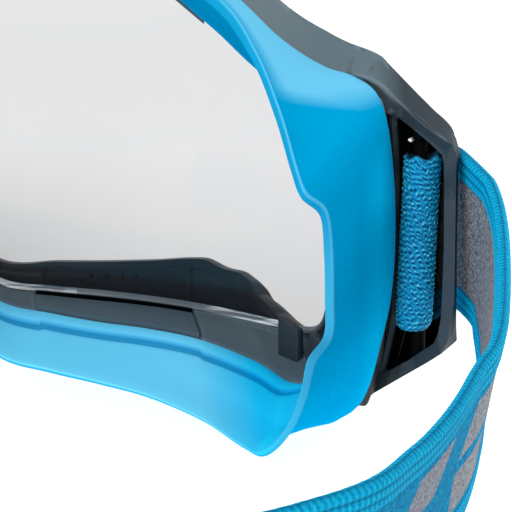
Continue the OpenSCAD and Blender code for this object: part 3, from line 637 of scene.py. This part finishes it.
# ------------------------------------------------------------ carrier frame
def carrier_piece():
    b, e = BOP, EOU
    st = stations(SUB)
    e2 = e.copy(); e2[:, 1] -= 0.5 * smooth(4.8, 5.9, st) * (1 - smooth(6.3, 6.9, st))
    h = cyl(e2, RE, RO - 2)
    f = h * 0.8 + A * 0.2
    low = b[:, 1] > e[:, 1] + 5
    f[:, 2] = np.where(low, np.minimum(f[:, 2], e[:, 1]), f[:, 2])
    Ain = cyl(b, LENS_R, RS - 1)
    J = B_
    x = np.abs(J[:, 0]); lowside = J[:, 2] < 12.5
    vent = smooth(24.0, 24.3, x) * (1 - smooth(51.2, 51.5, x)) * lowside
    top = (J[:, 2] > 60) * (1 - smooth(30, 31, x))
    sl = unit(Ain - J); L = np.linalg.norm(Ain - J, axis=1)[:, None]
    nrm = unit(np.cross(np.roll(J, -1, 0) - np.roll(J, 1, 0), sl))
    centre = np.array([0, 8, 42.0])
    nrm *= np.sign(np.sum(nrm * (centre - J), 1))[:, None]
    v = vent[:, None]; tp = top[:, None]
    shelf = (smooth(14, 15, x) * (x < 69) * lowside)[:, None]
    up = nrm * 0.75 * shelf * (1 - v)
    pts = [J + sl * (L * 0.02) + up * 0.6, J + sl * (L * 0.06) + up, J + sl * (L - 3.95) + up, J + sl * (L - 3.9) - nrm * (2.6 * v + 1.2 * tp) + up * 0.9,
           J + sl * (L - 1.7) - nrm * (2.6 * v + 1.2 * tp) + up * 0.2, J + sl * (L - 1.6) + nrm * 0.5 * v, J + sl * (L - 0.9) + nrm * (0.55 * v - 0.15), J + sl * (L - 0.5) + nrm * (0.35 * v + 0.12)]
    rest = [Ain, cyl(b, LENS_R, RS), cyl(grow(b, e, LAP + SLIP), LENS_R, RS), cyl(grow(b, e, LAP + SLIP), LENS_R, RF - SLIP),
            cyl(shrink(b, e, (RIMW + 1.0 * smooth(4.3, 5.2, st) * (1 - smooth(6.7, 7.3, st)))[:, None]), RE, RF - SLIP), cyl(shrink(b, e, RIMW), RE, RO - 1.5), cyl(shrink(b, e, 0.7), RE, RO - 1.0), h]
    wall, wd = [], []
    w = (smooth(12.6, 13.4, st) * (1 - smooth(15, 16.5, st)))
    house = 0.55 * smooth(8.6, 9.0, st) * (1 - smooth(12.4, 12.9, st))
    for s in (0.8, 0.64, 0.5, 0.34, 0.2, 0.08):
        q = h * s + A * (1 - s)
        if s == 0.8: q = f
        z = np.minimum(q[:, 2], A[:, 2] * max(0.0, 1 - s / 0.34))
        q = q.copy(); q[:, 2] = q[:, 2] * (1 - w) + z * w
        q[:, 2] -= 0.8 * smooth(5.8, 6.7, st) * (1 - smooth(6.9, 7.3, st)) * (1.0 if s < 0.7 else 0.6)
        wall.append(q); wd.append(np.maximum(house * (1.0 if s > 0.3 else 0.4 if s > 0.15 else 0.0), 0.82 * smooth(12.0, 12.5, st) * (1 - smooth(14.6, 15.2, st))))
    S = np.stack(wall + [A, J] + pts + rest, 1)
    # the dark attribute paints shade: on the wall beside the strap housing and at the lower corner, lightly on the
    # slope under the seal, and in the vent recesses
    D = np.zeros(S.shape[:2])
    D[:, :len(wall)] = np.stack(wd, 1)
    D[:, len(wall)] = 0.82 * smooth(12.0, 12.5, st) * (1 - smooth(14.6, 15.2, st))
    j0 = len(wall) + 2
    D[:, j0:j0 + 3] = 0.25; D[:, j0 + 3] = vent; D[:, j0 + 4] = vent; D[:, j0 + 5] = vent; D[:, j0 + 6] = vent
    # the deep corner beside the clips stays in shadow
    D[:, j0 - 1:j0 + 10] = np.maximum(D[:, j0 - 1:j0 + 10], (0.8 * smooth(11.7, 12.2, st) * (1 - smooth(13.7, 14.3, st)))[:, None])
    o = make("carrier_shell", mm(S.reshape(-1, 3)), ring_faces(*S.shape[:2]), [M_FRAME.m], sharp=32, attrs={"dark": D.ravel()})
    return bevel(o, 0.0002, 2, 40)


carrier = carrier_piece()
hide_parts("carrier_frame"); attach(carrier, "frame_body")


# -------------------------------------------------------------- lens gasket
def gasket_piece():
    b, e = BOP, EOU
    P = [cyl(grow(b, e, 2.2), LENS_R, RS), cyl(grow(b, e, 2.2), LENS_R, LENS_R - 0.03), cyl(grow(b, e, 0.5), LENS_R, LENS_R - 0.03),
         cyl(grow(b, e, -0.35), LENS_R, LENS_R - 0.05), cyl(grow(b, e, -0.95), LENS_R, LENS_R - 0.25), cyl(grow(b, e, -1.1), LENS_R, LENS_R - 0.45), cyl(grow(b, e, -0.95), LENS_R, LENS_R - 0.62),
         cyl(grow(b, e, -0.98), LENS_R, LENS_R - 0.8), cyl(grow(b, e, -0.72), LENS_R, LENS_R - 1.0), cyl(grow(b, e, -0.66), LENS_R, LENS_R - 1.2),
         cyl(grow(b, e, -0.22), LENS_R, LENS_R - 1.38), cyl(grow(b, e, 0.05), LENS_R, RS - 0.95),
         cyl(grow(b, e, 0.03), LENS_R, RS)]
    S = np.stack(P, 1)
    return make("lens_gasket_bead", mm(S.reshape(-1, 3)), ring_faces(*S.shape[:2]), [M_GASKET.m], sharp=50)


gasket = gasket_piece()
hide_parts("lens_gasket"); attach(gasket, "frame_body")

# --------------------------------------------------------------------- lens
NODES["lens"].data.materials.clear(); NODES["lens"].data.materials.append(M_LENS.m)
NODES["lens"].data.shade_smooth(); NODES["lens"].data.set_sharp_from_angle(angle=math.radians(30))


# --------------------------------------------------------------- lens bezel
def bezel_piece():
    b, e, n = BOP, EOU, NBI
    o = shrink(b, e, RIMW + SLIP)
    st = stations(SUBB)
    # stepped inner edge at each lower corner
    cor = np.array([[74.4, 14], [74.0, 11.3], [73.4, 8.8], [72.0, 7.4], [70.4, 7.4], [68.7, 8.9], [66.3, 10.7], [65.6, 11.6], [64.8, 12.4], [64.1, 13.0],
                    [63.4, 13.4], [63.1, 14.0], [62.7, 15.1], [62.4, 15.6], [61.4, 16.3], [60.5, 16.9], [59.8, 17.1], [58.0, 17.2], [56.9, 17.5], [55.3, 18.2], [54.4, 18.5]])
    sl_ = np.r_[0, np.cumsum(np.linalg.norm(np.diff(cor, axis=0), axis=1))]
    fr_ = np.clip((st - 12.0) / 5.0, 0, 1) * sl_[-1]
    cz = np.stack([np.sign(n[:, 0] + 1e-9) * np.interp(fr_, sl_, cor[:, 0]), np.interp(fr_, sl_, cor[:, 1])], 1)
    wc = (smooth(11.8, 12.2, st) * (1 - smooth(16.85, 17.1, st)))[:, None]
    n = n * (1 - wc) + cz * wc
    n[:, 0] += np.sign(n[:, 0]) * 0.8 * smooth(6.5, 8.0, st) * (1 - smooth(11.4, 12.6, st))
    rows, darks = [], []
    TT = np.r_[np.linspace(0, 0.4, 27), np.linspace(0.44, 1, 9)]
    x = n[:, 0]; ax = np.abs(x)
    lowside = (n[:, 1] < 20) & (ax > 12)
    for t in TT:
        q = n * (1 - t) + o * t
        r = np.full(len(q), RF + 0.6 * max(0, 1 - t * 5))
        z = q[:, 1]
        xx = np.abs(q[:, 0]) * 98 / RE
        d = np.zeros(len(q))
        # long shelf line and recess
        d += 0.5 * smooth(0.075, 0.09, t) * (1 - smooth(0.125, 0.14, t)) * (1 - smooth(53, 55, xx)) * smooth(16, 18, xx)
        # four short ribs with gaps between them
        for c in (33.7, 36.3, 39.0, 41.4):
            d += 1.2 * smooth(c - 0.42, c - 0.3, xx) * (1 - smooth(c + 0.3, c + 0.42, xx)) * smooth(0.13, 0.15, t) * (1 - smooth(0.235, 0.25, t))
        # narrow upright gaps
        for c, w in ((25.6, 0.35), (50.7, 0.35)):
            d += 1.2 * smooth(c - w, c - w * 0.5, xx) * (1 - smooth(c + w * 0.5, c + w, xx)) * smooth(0.08, 0.10, t)
        # shallow panel between the gaps
        d += 0.35 * smooth(0.15, 0.17, t) * smooth(25.8, 26.4, xx) * (1 - smooth(49.8, 50.4, xx))
        d = np.minimum(d, 1.5) * lowside
        # the dark attribute paints shade on these lines, ribs, gaps and panel, darker where d is larger
        rows.append(cyl(q, RE, r + d)); darks.append(np.clip(d / 1.2, 0, 1))
    front = [(1.0, RO - 1.2), (0.93, RO - 0.35), (0.82, RO), (0.6, RO - 0.05), (0.32, RO - 0.3), (0.12, RO - 1.3), (0.02, RF + 2.9), (0.0, RF + 2.0), (0.0, RF + 1.1)]
    for t, r in front:
        rows.append(cyl(n * (1 - t) + o * t, RE, r)); darks.append(np.zeros(len(n)))
    S = np.stack(rows, 1)
    ob = make("lens_bezel_ring", mm(S.reshape(-1, 3)), ring_faces(*S.shape[:2]), [M_BEZEL.m], sharp=32, attrs={"dark": np.stack(darks, 1).ravel()})
    return bevel(ob, 0.00012, 2, 45)


SUBB = 40
BOP, EOU, NBI = loop(OP, SUBB), loop(OU, SUBB), loop(BI, SUBB)
EOU[:, 1] = np.maximum(EOU[:, 1], 0)
bezel = bezel_piece()
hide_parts("lens_bezel"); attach(bezel, "lens_unit")
BOP, EOU, NBI = loop(OP, SUB), loop(OU, SUB), loop(BI, SUB)
EOU[:, 1] = np.maximum(EOU[:, 1], 0)


# ---------------------------------------------------------------- outriggers
def hit(poly, c, ang):
    """Distance from c to the polygon along each angle."""
    P = np.asarray(poly, float) - c
    Q = np.roll(P, -1, 0)
    out = []
    for a in ang:
        d = np.array([math.cos(a), math.sin(a)])
        best = 0
        for p, q in zip(P, Q):
            e = q - p
            den = d[0] * e[1] - d[1] * e[0]
            if abs(den) < 1e-12: continue
            t = (p[0] * e[1] - p[1] * e[0]) / den
            s = (p[0] * d[1] - p[1] * d[0]) / den
            if t > 0 and -1e-9 <= s <= 1 + 1e-9: best = max(best, t)
        out.append(best)
    return np.array(out)


WA = math.radians(-56.3)
EX = np.array([math.cos(WA), math.sin(WA), 0]); EY = np.array([-math.sin(WA), math.cos(WA), 0])


def wing_pt(x, y, z, side=1):
    x, y, z = np.broadcast_arrays(np.asarray(x, float), np.asarray(y, float), np.asarray(z, float))
    p = np.array([81.0, 1, 0]) + x[..., None] * EX + y[..., None] * EY + z[..., None] * np.array([0, 0, 1.0])
    if side < 0: p = p * np.array([-1, 1, 1])
    return p


def seat_x(z, y):
    s = np.array(SEAT)
    X = np.interp(z, s[:, 1], s[:, 0]) - 0.35
    return (X - 81.0 - EY[0] * y) / EX[0]


def outrigger_piece(side):
    c = np.array([9.6, 27.5])
    ang = []
    for poly in (WING, WING2, SLOT):
        for p in poly: ang.append(math.atan2(p[1] - c[1], p[0] - c[0]))
    ang = sorted(set([round(a, 5) for a in ang] + [round(a, 5) for a in np.linspace(-math.pi, math.pi, 73)[:-1]]))
    keep = [ang[0]]
    for a in ang[1:]:
        if a - keep[-1] > 0.006: keep.append(a)
    ang = np.array(keep)
    cs = np.stack([np.cos(ang), np.sin(ang)], 1)
    W1 = c + cs * hit(WING, c, ang)[:, None]
    W2 = c + cs * hit(WING2, c, ang)[:, None]
    S = c + cs * hit(SLOT, c, ang)[:, None]
    W1[:, 0] = np.minimum(W1[:, 0], 19.2)
    # the top of the ring's root sits under the shoulder strip
    for W_, dz_ in ((W1, 0.3), (W2, 0.35)):
        W_[:, 1] -= dz_ * smooth(45.4, 46.6, W_[:, 1])
    def lim(P, y):
        P = P.copy(); P[:, 0] = np.maximum(P[:, 0], seat_x(P[:, 1], y)); return P
    levels = []
    # each level: outer x, slot x, height, y
    for y, mixv in ((-1.2, 0.0), (0.2, 0.30), (2.7, 1.0)):
        P = W1 * (1 - mixv) + W2 * mixv
        yy = np.full(len(ang), y)
        xc = 19.2 - (y + 1.2) * 0.919
        over = P[:, 0] > xc
        P[over, 0] = xc
        Sy = S.copy()
        tight = P[:, 0] - Sy[:, 0]
        fw = smooth(11.5, 14, P[:, 0]) * (1 - smooth(41, 48, P[:, 1])) * smooth(6, 12, P[:, 1]) * (tight < 0.7)
        P[:, 0] = P[:, 0] * (1 - fw) + (Sy[:, 0] + 0.7) * fw
        yy = yy * (1 - fw) + np.minimum(yy, -1.2 + (19.2 - P[:, 0]) / 0.919) * fw
        P = lim(P, y)
        Sy = lim(Sy, y)
        near = (Sy[:, 0] - P[:, 0] < 0.45) & (P[:, 0] < 8)
        Sy[near, 0] = P[near, 0] + 0.45
        levels.append((P, Sy, yy))
    P0, S0, y0 = levels[0]; P1, S1, y1 = levels[1]; P2, S2, y2 = levels[2]
    # section loop: slot rear, (rear face), outer rear, outer mid, outer front, (front face), slot front
    def q(P, y): return wing_pt(P[:, 0], y, P[:, 1], side)
    lipin = S0 * 0.93 + P0 * 0.07
    Sec = np.stack([q(S0, y0 + 0.25), q(lipin, y0), q(P0, y0), q(P1, y1), q(P2, y2), q(S2 * 0.85 + P2 * 0.15, y2), q(S2, y2 - 0.25), q(S1, (y0 + y2) / 2), q(S0, y0 + 1.25), q(S0, y0 + 0.85)], 1)
    V, F = mm(Sec.reshape(-1, 3)), ring_faces(*Sec.shape[:2])
    # shoulder: the brow's top face runs on into the upper bar, with a ridge between it and the rear face
    wf, wg, wl = np.array(WF), np.array(WG), np.array(WL)
    Fp = run(np.vstack([SHF, wing_pt(wf[:, 0], 2.7, wf[:, 1] + 0.03)]), 6)
    Gp = run(np.vstack([SHG, wing_pt(wg[:, 0], -1.27, wg[:, 1] + 0.02)]), 6)
    Lp = run(np.vstack([SHL, wing_pt(wl[:, 0], -1.27, wl[:, 1])]), 6)
    ca, cb = np.linspace(0, 1, 9)[None, :, None], np.linspace(0, 1, 7)[None, :, None]
    top_f = Fp[:, None] * (1 - ca) + Gp[:, None] * ca
    rear_f = Gp[:, None] * (1 - cb) + Lp[:, None] * cb
    back_ = [Lp + EY * 1.2 + [0, 0, 0.2], Gp + EY * 1.5 - [0, 0, 1.4], Fp - EY * 0.9 - [0, 0, 1.7]]
    P = np.concatenate([top_f, rear_f[:, 1:]] + [q_[:, None] for q_ in back_], 1)
    if side < 0: P = P * np.array([-1, 1, 1])
    n0 = len(V)
    V = np.vstack([V, mm(P.reshape(-1, 3))])
    F += [[i + n0 for i in f_] for f_ in strip_faces(P.shape[0], P.shape[1])]
    # the dark attribute paints shade on the slot's walls and on the shoulder's rear face; crest paints a highlight
    # along the ridge
    dk = np.zeros(len(V)); ring_dk = np.zeros(Sec.shape[:2]); ring_dk[:, 6:10] = 1.0
    left_wall = S[:, 0] < 5.2
    ring_dk[left_wall, 9] = 0.0
    dk[:n0] = ring_dk.ravel()
    sdk = np.zeros(P.shape[:2]); ks = np.arange(P.shape[0]) / 6
    sdk[:, 10:15] = (0.72 * (1 - smooth(4.6, 7.5, ks)) * smooth(1.0, 2.5, ks))[:, None]
    dk[n0:] = sdk.ravel()
    cr = np.zeros(len(V)); crs = np.zeros(P.shape[:2]); crs[:, 8] = smooth(0.5, 2.0, ks) * (1 - smooth(12.5, 14.0, ks)); cr[n0:] = crs.ravel()
    ob = make("outrigger_plate_" + ("right" if side > 0 else "left"), V, F, [M_OUTR.m], sharp=25, attrs={"dark": dk, "crest_highlight": cr})
    return bevel(ob, 0.00045, 3, 24)


for side, tag in ((1, "right"), (-1, "left")):
    ob = outrigger_piece(side)
    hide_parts("outrigger_" + tag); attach(ob, "frame_body")


# -------------------------------------------------- plain CAD parts, finished
def finish_node(name, mat, bev=0.0, seg=2, angle=30, sharp=30):
    o = NODES[name]
    o.data.materials.clear(); o.data.materials.append(mat.m)
    o.data.shade_smooth(); o.data.set_sharp_from_angle(angle=math.radians(sharp))
    if bev:
        w = o.modifiers.new("weld", "WELD"); w.merge_threshold = 0.000005
        bevel(o, bev, seg, angle)


finish_node("lens_clips", M_CLIP, 0.0003)
for t in ("right", "left"):
    finish_node("outrigger_cover_" + t, M_COVER, 0.0006, 3)
    finish_node("lower_vent_baffle_" + t, M_BAFFLE, 0.0002)
finish_node("upper_vent_baffle", M_BAFFLE, 0.0002)
finish_node("adjuster_slider", M_SLIDER, 0.0006, 3)


def pin_piece(side):
    """Straight pin, its ends chamfered and sunk in the bars, with a turned collar above the loop."""
    prof = [(0.0, 8.0), (0.95, 8.0), (1.2, 8.3), (1.2, 43.0), (1.2, 44.15), (1.85, 44.2), (1.95, 44.3), (1.95, 44.42), (1.75, 44.52), (1.25, 44.54), (1.2, 44.7), (1.2, 48.0), (0.95, 48.3), (0.0, 48.3)]
    aa = np.linspace(0, 2 * math.pi, 48, endpoint=False)
    V = [wing_pt(7.9, 1.0, 8.0, side)]
    painted_glint = [0.0]
    deg = np.degrees(aa)
    # the crescent of the collar's top that carries the painted glint
    arc = smooth(178, 192, deg) * (1 - smooth(262, 280, deg))
    for r_, z_ in prof[1:-1]:
        painted_glint += list(arc if 1.7 < r_ else 0 * arc)
        V += list(wing_pt(7.9 + r_ * np.cos(aa), 1.0 + r_ * np.sin(aa), z_ + 0 * aa, side))
    V.append(wing_pt(7.9, 1.0, 48.3, side)); painted_glint.append(0.0)
    k = len(prof) - 2; F = []
    for j in range(48):
        F.append([0, 1 + (j + 1) % 48, 1 + j]); F.append([len(V) - 1, 1 + (k - 1) * 48 + j, 1 + (k - 1) * 48 + (j + 1) % 48])
        for i in range(k - 1):
            F.append([1 + i * 48 + j, 1 + i * 48 + (j + 1) % 48, 1 + (i + 1) * 48 + (j + 1) % 48, 1 + (i + 1) * 48 + j])
    return make("strap_pin_steel_" + ("right" if side > 0 else "left"), mm(np.array(V)), F, [M_PIN.m], sharp=35, attrs={"painted_glint": painted_glint})


for side, tag in ((1, "right"), (-1, "left")):
    ob = pin_piece(side)
    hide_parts("strap_pin_" + tag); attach(ob, "frame_body")


# --------------------------------------------------------------- strap loops
def loop_piece(side):
    """Webbing wrapped round the pin: a ribbed, slightly uneven sleeve."""
    cx, cy, z0, hgt, r = 7.9, 1.0, 13.0, 28.9, 3.2
    nz, na = 420, 150
    zz = np.linspace(0, 1, nz); aa = np.linspace(0, 2 * math.pi, na, endpoint=False)
    Z, Aa = np.meshgrid(zz * hgt, aa, indexing="ij")
    rng = np.random.RandomState(7)
    wav = 0.0 * Z
    for k in range(26):
        fa, fz, ph = rng.randint(3, 22), rng.uniform(0.03, 0.6), rng.uniform(0, 6.28)
        wav += rng.uniform(0.25, 0.62) * np.sin(fa * Aa + 2 * math.pi * fz * Z + ph)
    brk = 0.0 * Z
    for k in range(16):
        brk += np.sin(rng.randint(4, 26) * Aa + rng.uniform(1.0, 5.0) * Z + rng.uniform(0, 6.28))
    rib = np.cos(2 * math.pi * Z / 0.86 + 0.75 * wav) * (0.60 + 0.13 * brk)
    fine = np.sin(34 * Aa + wav * 3)
    end = smooth(0, 0.7, hgt - Z)
    toe = np.sqrt(np.clip(1 - (1 - np.clip((Z + 0.05) / 2.2, 0, 1)) ** 2, 0, 1))
    rr = (r - 0.26) * (0.90 + 0.10 * end) * (0.55 + 0.45 * toe) + (0.15 * rib + 0.05 * fine) * end * toe
    top_wave = 0.35 * np.sin(5 * Aa + 0.7) * smooth(hgt - 2.0, hgt, Z)
    lean = 0.45 * (Z / hgt) - 0.8 * (1 - Z / hgt)
    x = cx + rr * np.cos(Aa) + lean * EX[0]; y = cy + rr * np.sin(Aa) + lean * EY[0]
    P = wing_pt(x, y, z0 + Z + top_wave, side)
    inner = 1.27
    rows = [P]
    # crest: where each rib's crest lies, for the painted highlight on it and the painted shade beside it
    crest_highlight = [np.clip(rib * 0.5 + 0.5 + 0.08 * fine, 0, 1)]
    shade = [smooth(hgt - 0.5, hgt, Z) * 0.8]
    for zc, rad, dz in ((hgt - 0.15, 2.3, 0.30), (hgt - 0.7, inner, 0.15), (0.5, inner, 0.0), (0.12, 1.5, 0.0)):
        ln = 0.45 * zc / hgt - 0.8 * (1 - zc / hgt)
        ln = ln * (0.4 if rad == inner else 1.0)
        rows.append(wing_pt(cx + rad * np.cos(aa) + ln * EX[0], cy + rad * np.sin(aa) + ln * EY[0], z0 + zc + dz * np.sin(5 * aa + 0.7), side)[None])
        crest_highlight.append(np.full((1, na), 0.3)); shade.append(np.full((1, na), 0.85))
    V = np.concatenate(rows, 0)
    n, m_ = V.shape[:2]
    uvu = np.concatenate([Aa * r] + [aa[None] * rad for rad in (2.2, inner, inner, 2.2)], 0)
    uvv = np.concatenate([Z * 0.62 + 6.4] + [0 * aa[None] + v for v in (24, 23, 7, 7)], 0)
    ob = make("strap_loop_knit_" + ("right" if side > 0 else "left"), mm(V.reshape(-1, 3)), ring_faces(n, m_), [M_KNIT.m],
              uv=np.stack([uvu.ravel(), uvv.ravel()], 1), sharp=75,
              attrs={"crest_highlight": np.concatenate(crest_highlight, 0).ravel(), "shade": np.concatenate(shade, 0).ravel()})
    return ob


for side, tag in ((1, "right"), (-1, "left")):
    ob = loop_piece(side)
    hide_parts("strap_loop_" + tag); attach(ob, tag + "_loop")


# ------------------------------------------------------------------ headband
def resample(T, B, step):
    C = (T + B) / 2
    s = np.r_[0, np.cumsum(np.linalg.norm(np.diff(C, axis=0), axis=1))]
    n = int(s[-1] / step) + 1
    q = np.linspace(0, s[-1], n)
    f = lambda A_: np.stack([np.interp(q, s, A_[:, i]) for i in range(3)], 1)
    return f(T), f(B), q


def webbing(name, T, B, d=0.0, thick=1.55, mats=None, step=0.9, u0=0.0, shade=0.0):
    T, B = np.asarray(T, float), np.asarray(B, float)
    T, B, u = resample(T, B, step)
    n = len(T)
    g = np.zeros_like(T)
    mid = (T + B)
    g[1:-1] = mid[2:] - mid[:-2]; g[0] = mid[1] - mid[0]; g[-1] = mid[-1] - mid[-2]
    w = T - B
    s = unit(np.cross(g, w))
    for _ in range(3):
        s[1:-1] = unit(s[:-2] + s[1:-1] * 2 + s[2:])
    NV = 61
    v = np.linspace(0, 1, NV)
    vm = v * 30.0
    ed = 15 - np.abs(vm - 15)
    # three ribs on each border, a groove inside them, a faint crown between
    rib = 0.24 * np.maximum(0, np.sin(ed / 4.8 * 3 * math.pi)) ** 0.8 * (ed < 4.8) * (ed > 0.05)
    rib = np.where(ed < 4.8, 0.34 * np.abs(np.sin(ed / 4.8 * 3 * math.pi)) ** 0.7, 0.08)
    rib -= 0.12 * np.exp(-((ed - 4.95) / 0.3) ** 2)
    hth = (thick / 2) * np.sqrt(np.clip(1 - (1 - np.clip(ed / 0.8, 0, 1)) ** 2, 0.0, 1))
    rng = np.random.RandomState(5)
    ripple = np.zeros(n)
    for k in range(8):
        ripple += 0.05 * np.sin(u * rng.uniform(0.15, 0.9) + rng.uniform(0, 6.28))
    edge_w = 0.07 * np.sin(u * 2 * math.pi / 1.35)[:, None] * (np.array([1]))[None]
    pts = []
    def row(sign):
        off = d + sign * np.maximum(hth + rib * np.clip(ed / 0.6, 0, 1) - 0.1, 0.02)
        base = T[:, None] * (1 - v)[None, :, None] + B[:, None] * v[None, :, None]
        base = base + s[:, None] * off[None, :, None]
        wob = (ripple[:, None] * 0.25 + edge_w * np.clip(1 - ed / 1.2, 0, 1)[None])[..., None]
        dirw = unit(T - B)[:, None] * np.sign(0.5 - v)[None, :, None]
        return base + dirw * wob * (np.clip(1 - ed / 1.2, 0, 1))[None, :, None]
    out, inn = row(1), row(-1)
    V = np.concatenate([out, inn[:, ::-1][:, 1:-1]], 1)
    mcount = V.shape[1]
    uu = np.repeat((u + u0)[:, None], mcount, 1)
    vv = np.repeat(np.r_[vm, vm[::-1][1:-1]][None], n, 0)
    F = strip_faces(n, mcount)
    fm = np.zeros(len(F), int)
    body = np.tile(np.arange(mcount), n - 1)
    fm[:len(body)] = (body < NV - 1).astype(int)
    ob = make(name, mm(V.reshape(-1, 3)), F, [k.m for k in (mats or [M_WEB_OUT, M_WEB_IN])], uv=np.stack([uu.ravel(), vv.ravel()], 1), fmat=fm, sharp=70,
              attrs={"shade": np.repeat((np.maximum(1 - smooth(3.0, 7.5, u), smooth(u[-1] - 7.5, u[-1] - 3.0, u)) * shade)[:, None], mcount, 1).ravel()})
    return ob, V


su = (SB - SA) / np.linalg.norm(SB - SA)
sw = np.array([0, 0, 1.0]) - su * su[2]; sw /= np.linalg.norm(sw)
slen = np.linalg.norm(SB - SA)


def run_pt(s, v): return SA + su * s + sw * v


mirror = lambda P: [[-p[0], p[1], p[2]] for p in P]
runT = [run_pt(slen * k / 6, 15).tolist() for k in range(7)]
runB = [run_pt(slen * k / 6, -15).tolist() for k in range(7)]
# once round, from the right outrigger to the left one
T_all = run(ET + TR, 6)
B_all = run(EB + BR, 6)
leftT = TL + runT[::-1]
leftB = BL + runB[::-1]
tail_T = mirror([[93.9, -22, 42.9], ET[2], ET[1], ET[0]])
tail_B = mirror([[94.3, -13.5, 15.2], EB[2], EB[1], EB[0]])
T_l = run([TR[-1]] + leftT + tail_T, 6)
B_l = run([BR[-1]] + leftB + tail_B, 6)
Tb, Bb = np.vstack([T_all, T_l[1:]]), np.vstack([B_all, B_l[1:]])
band, band_V = webbing("headband_webbing", Tb, Bb, step=0.9, shade=0.9)
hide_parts("headband", "strap_end_right", "strap_end_left")
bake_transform(band)

# return strap on the left: from under the slider's bars back to its end
T = np.array([run_pt(-4 + 28.0 * k / 20, 14.6) for k in range(21)])
B = np.array([run_pt(-4 + 28.0 * k / 20, -14.6) for k in range(21)])
ret, _ = webbing("return_webbing_left", T[::-1], B[::-1], d=-2.05, thick=1.45, u0=3.0, mats=[M_WEB_IN, M_WEB_OUT])
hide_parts("return_strap_left"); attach(ret, "band")

# ------------------------------------------------------------ stage and light
def backdrop():
    xs = np.linspace(-4, 4, 2)
    prof = [(-4, 0.0), (1.6, 0.0)] + [(1.6 + 1.2 * math.sin(t), 1.2 - 1.2 * math.cos(t)) for t in np.linspace(0.1, math.pi / 2, 14)] + [(2.8, 5.0)]
    V, F = [], []
    for x_ in xs:
        for y_, z_ in prof: V.append((x_, y_, z_))
    k = len(prof)
    for i in range(k - 1): F.append((i, i + 1, k + i + 1, k + i))
    mt = Mat("floor_pale", (0.40, 0.40, 0.402), 0.85)
    mt.color(mt.mix(mt.noise(3, 2, 0.5), (0.395, 0.395, 0.398), (0.41, 0.41, 0.412)))
    mt.b.inputs["Emission Color"].default_value = (1, 1, 1, 1); mt.b.inputs["Emission Strength"].default_value = 0.92
    mt.b.inputs["Specular IOR Level"].default_value = 0.1
    o = make("floor", V, F, [mt.m], sharp=0, recalc=False)
    return o


floor = backdrop()

W_ = bpy.data.worlds.new("studio"); bpy.context.scene.world = W_
W_.use_nodes = True
W_.node_tree.nodes["Background"].inputs[0].default_value = (1.0, 1.0, 1.0, 1)
W_.node_tree.nodes["Background"].inputs[1].default_value = 0.62


def area(name, loc, aim, size, power, color=(1, 1, 1)):
    L = bpy.data.lights.new(name, "AREA"); L.shape = "DISK"; L.size = size; L.energy = power; L.color = color
    o = bpy.data.objects.new(name, L); o.location = loc
    o.rotation_euler = (Vector(aim) - Vector(loc)).to_track_quat("-Z", "Y").to_euler()
    bpy.context.scene.collection.objects.link(o)
    return o


area("key_top", (-0.25, -0.20, 0.80), (0.06, 0.04, 0.03), 0.6, 1.7)
area("fill_back", (-0.45, -1.1, 0.42), (0.05, 0.05, 0.03), 0.9, 7.1)
area("fill_right", (0.80, -0.35, 0.40), (0.085, 0.03, 0.03), 0.5, 3.0)

cam = bpy.data.cameras.new("camera"); co = bpy.data.objects.new("camera", cam)
bpy.context.scene.collection.objects.link(co)
co.location = (0.0255956, (-492.6236 + OY) / 1000, 0.1384325)
co.rotation_euler = Vector((0.06796862, 0.97199655, -0.22495105)).to_track_quat("-Z", "Y").to_euler()
cam.sensor_width = 36; cam.lens = 3100 / 512 * 36; cam.clip_start = 0.01; cam.clip_end = 50
bpy.context.scene.camera = co
bpy.context.scene.view_settings.view_transform = "Standard"
bpy.context.scene.view_settings.look = "None"
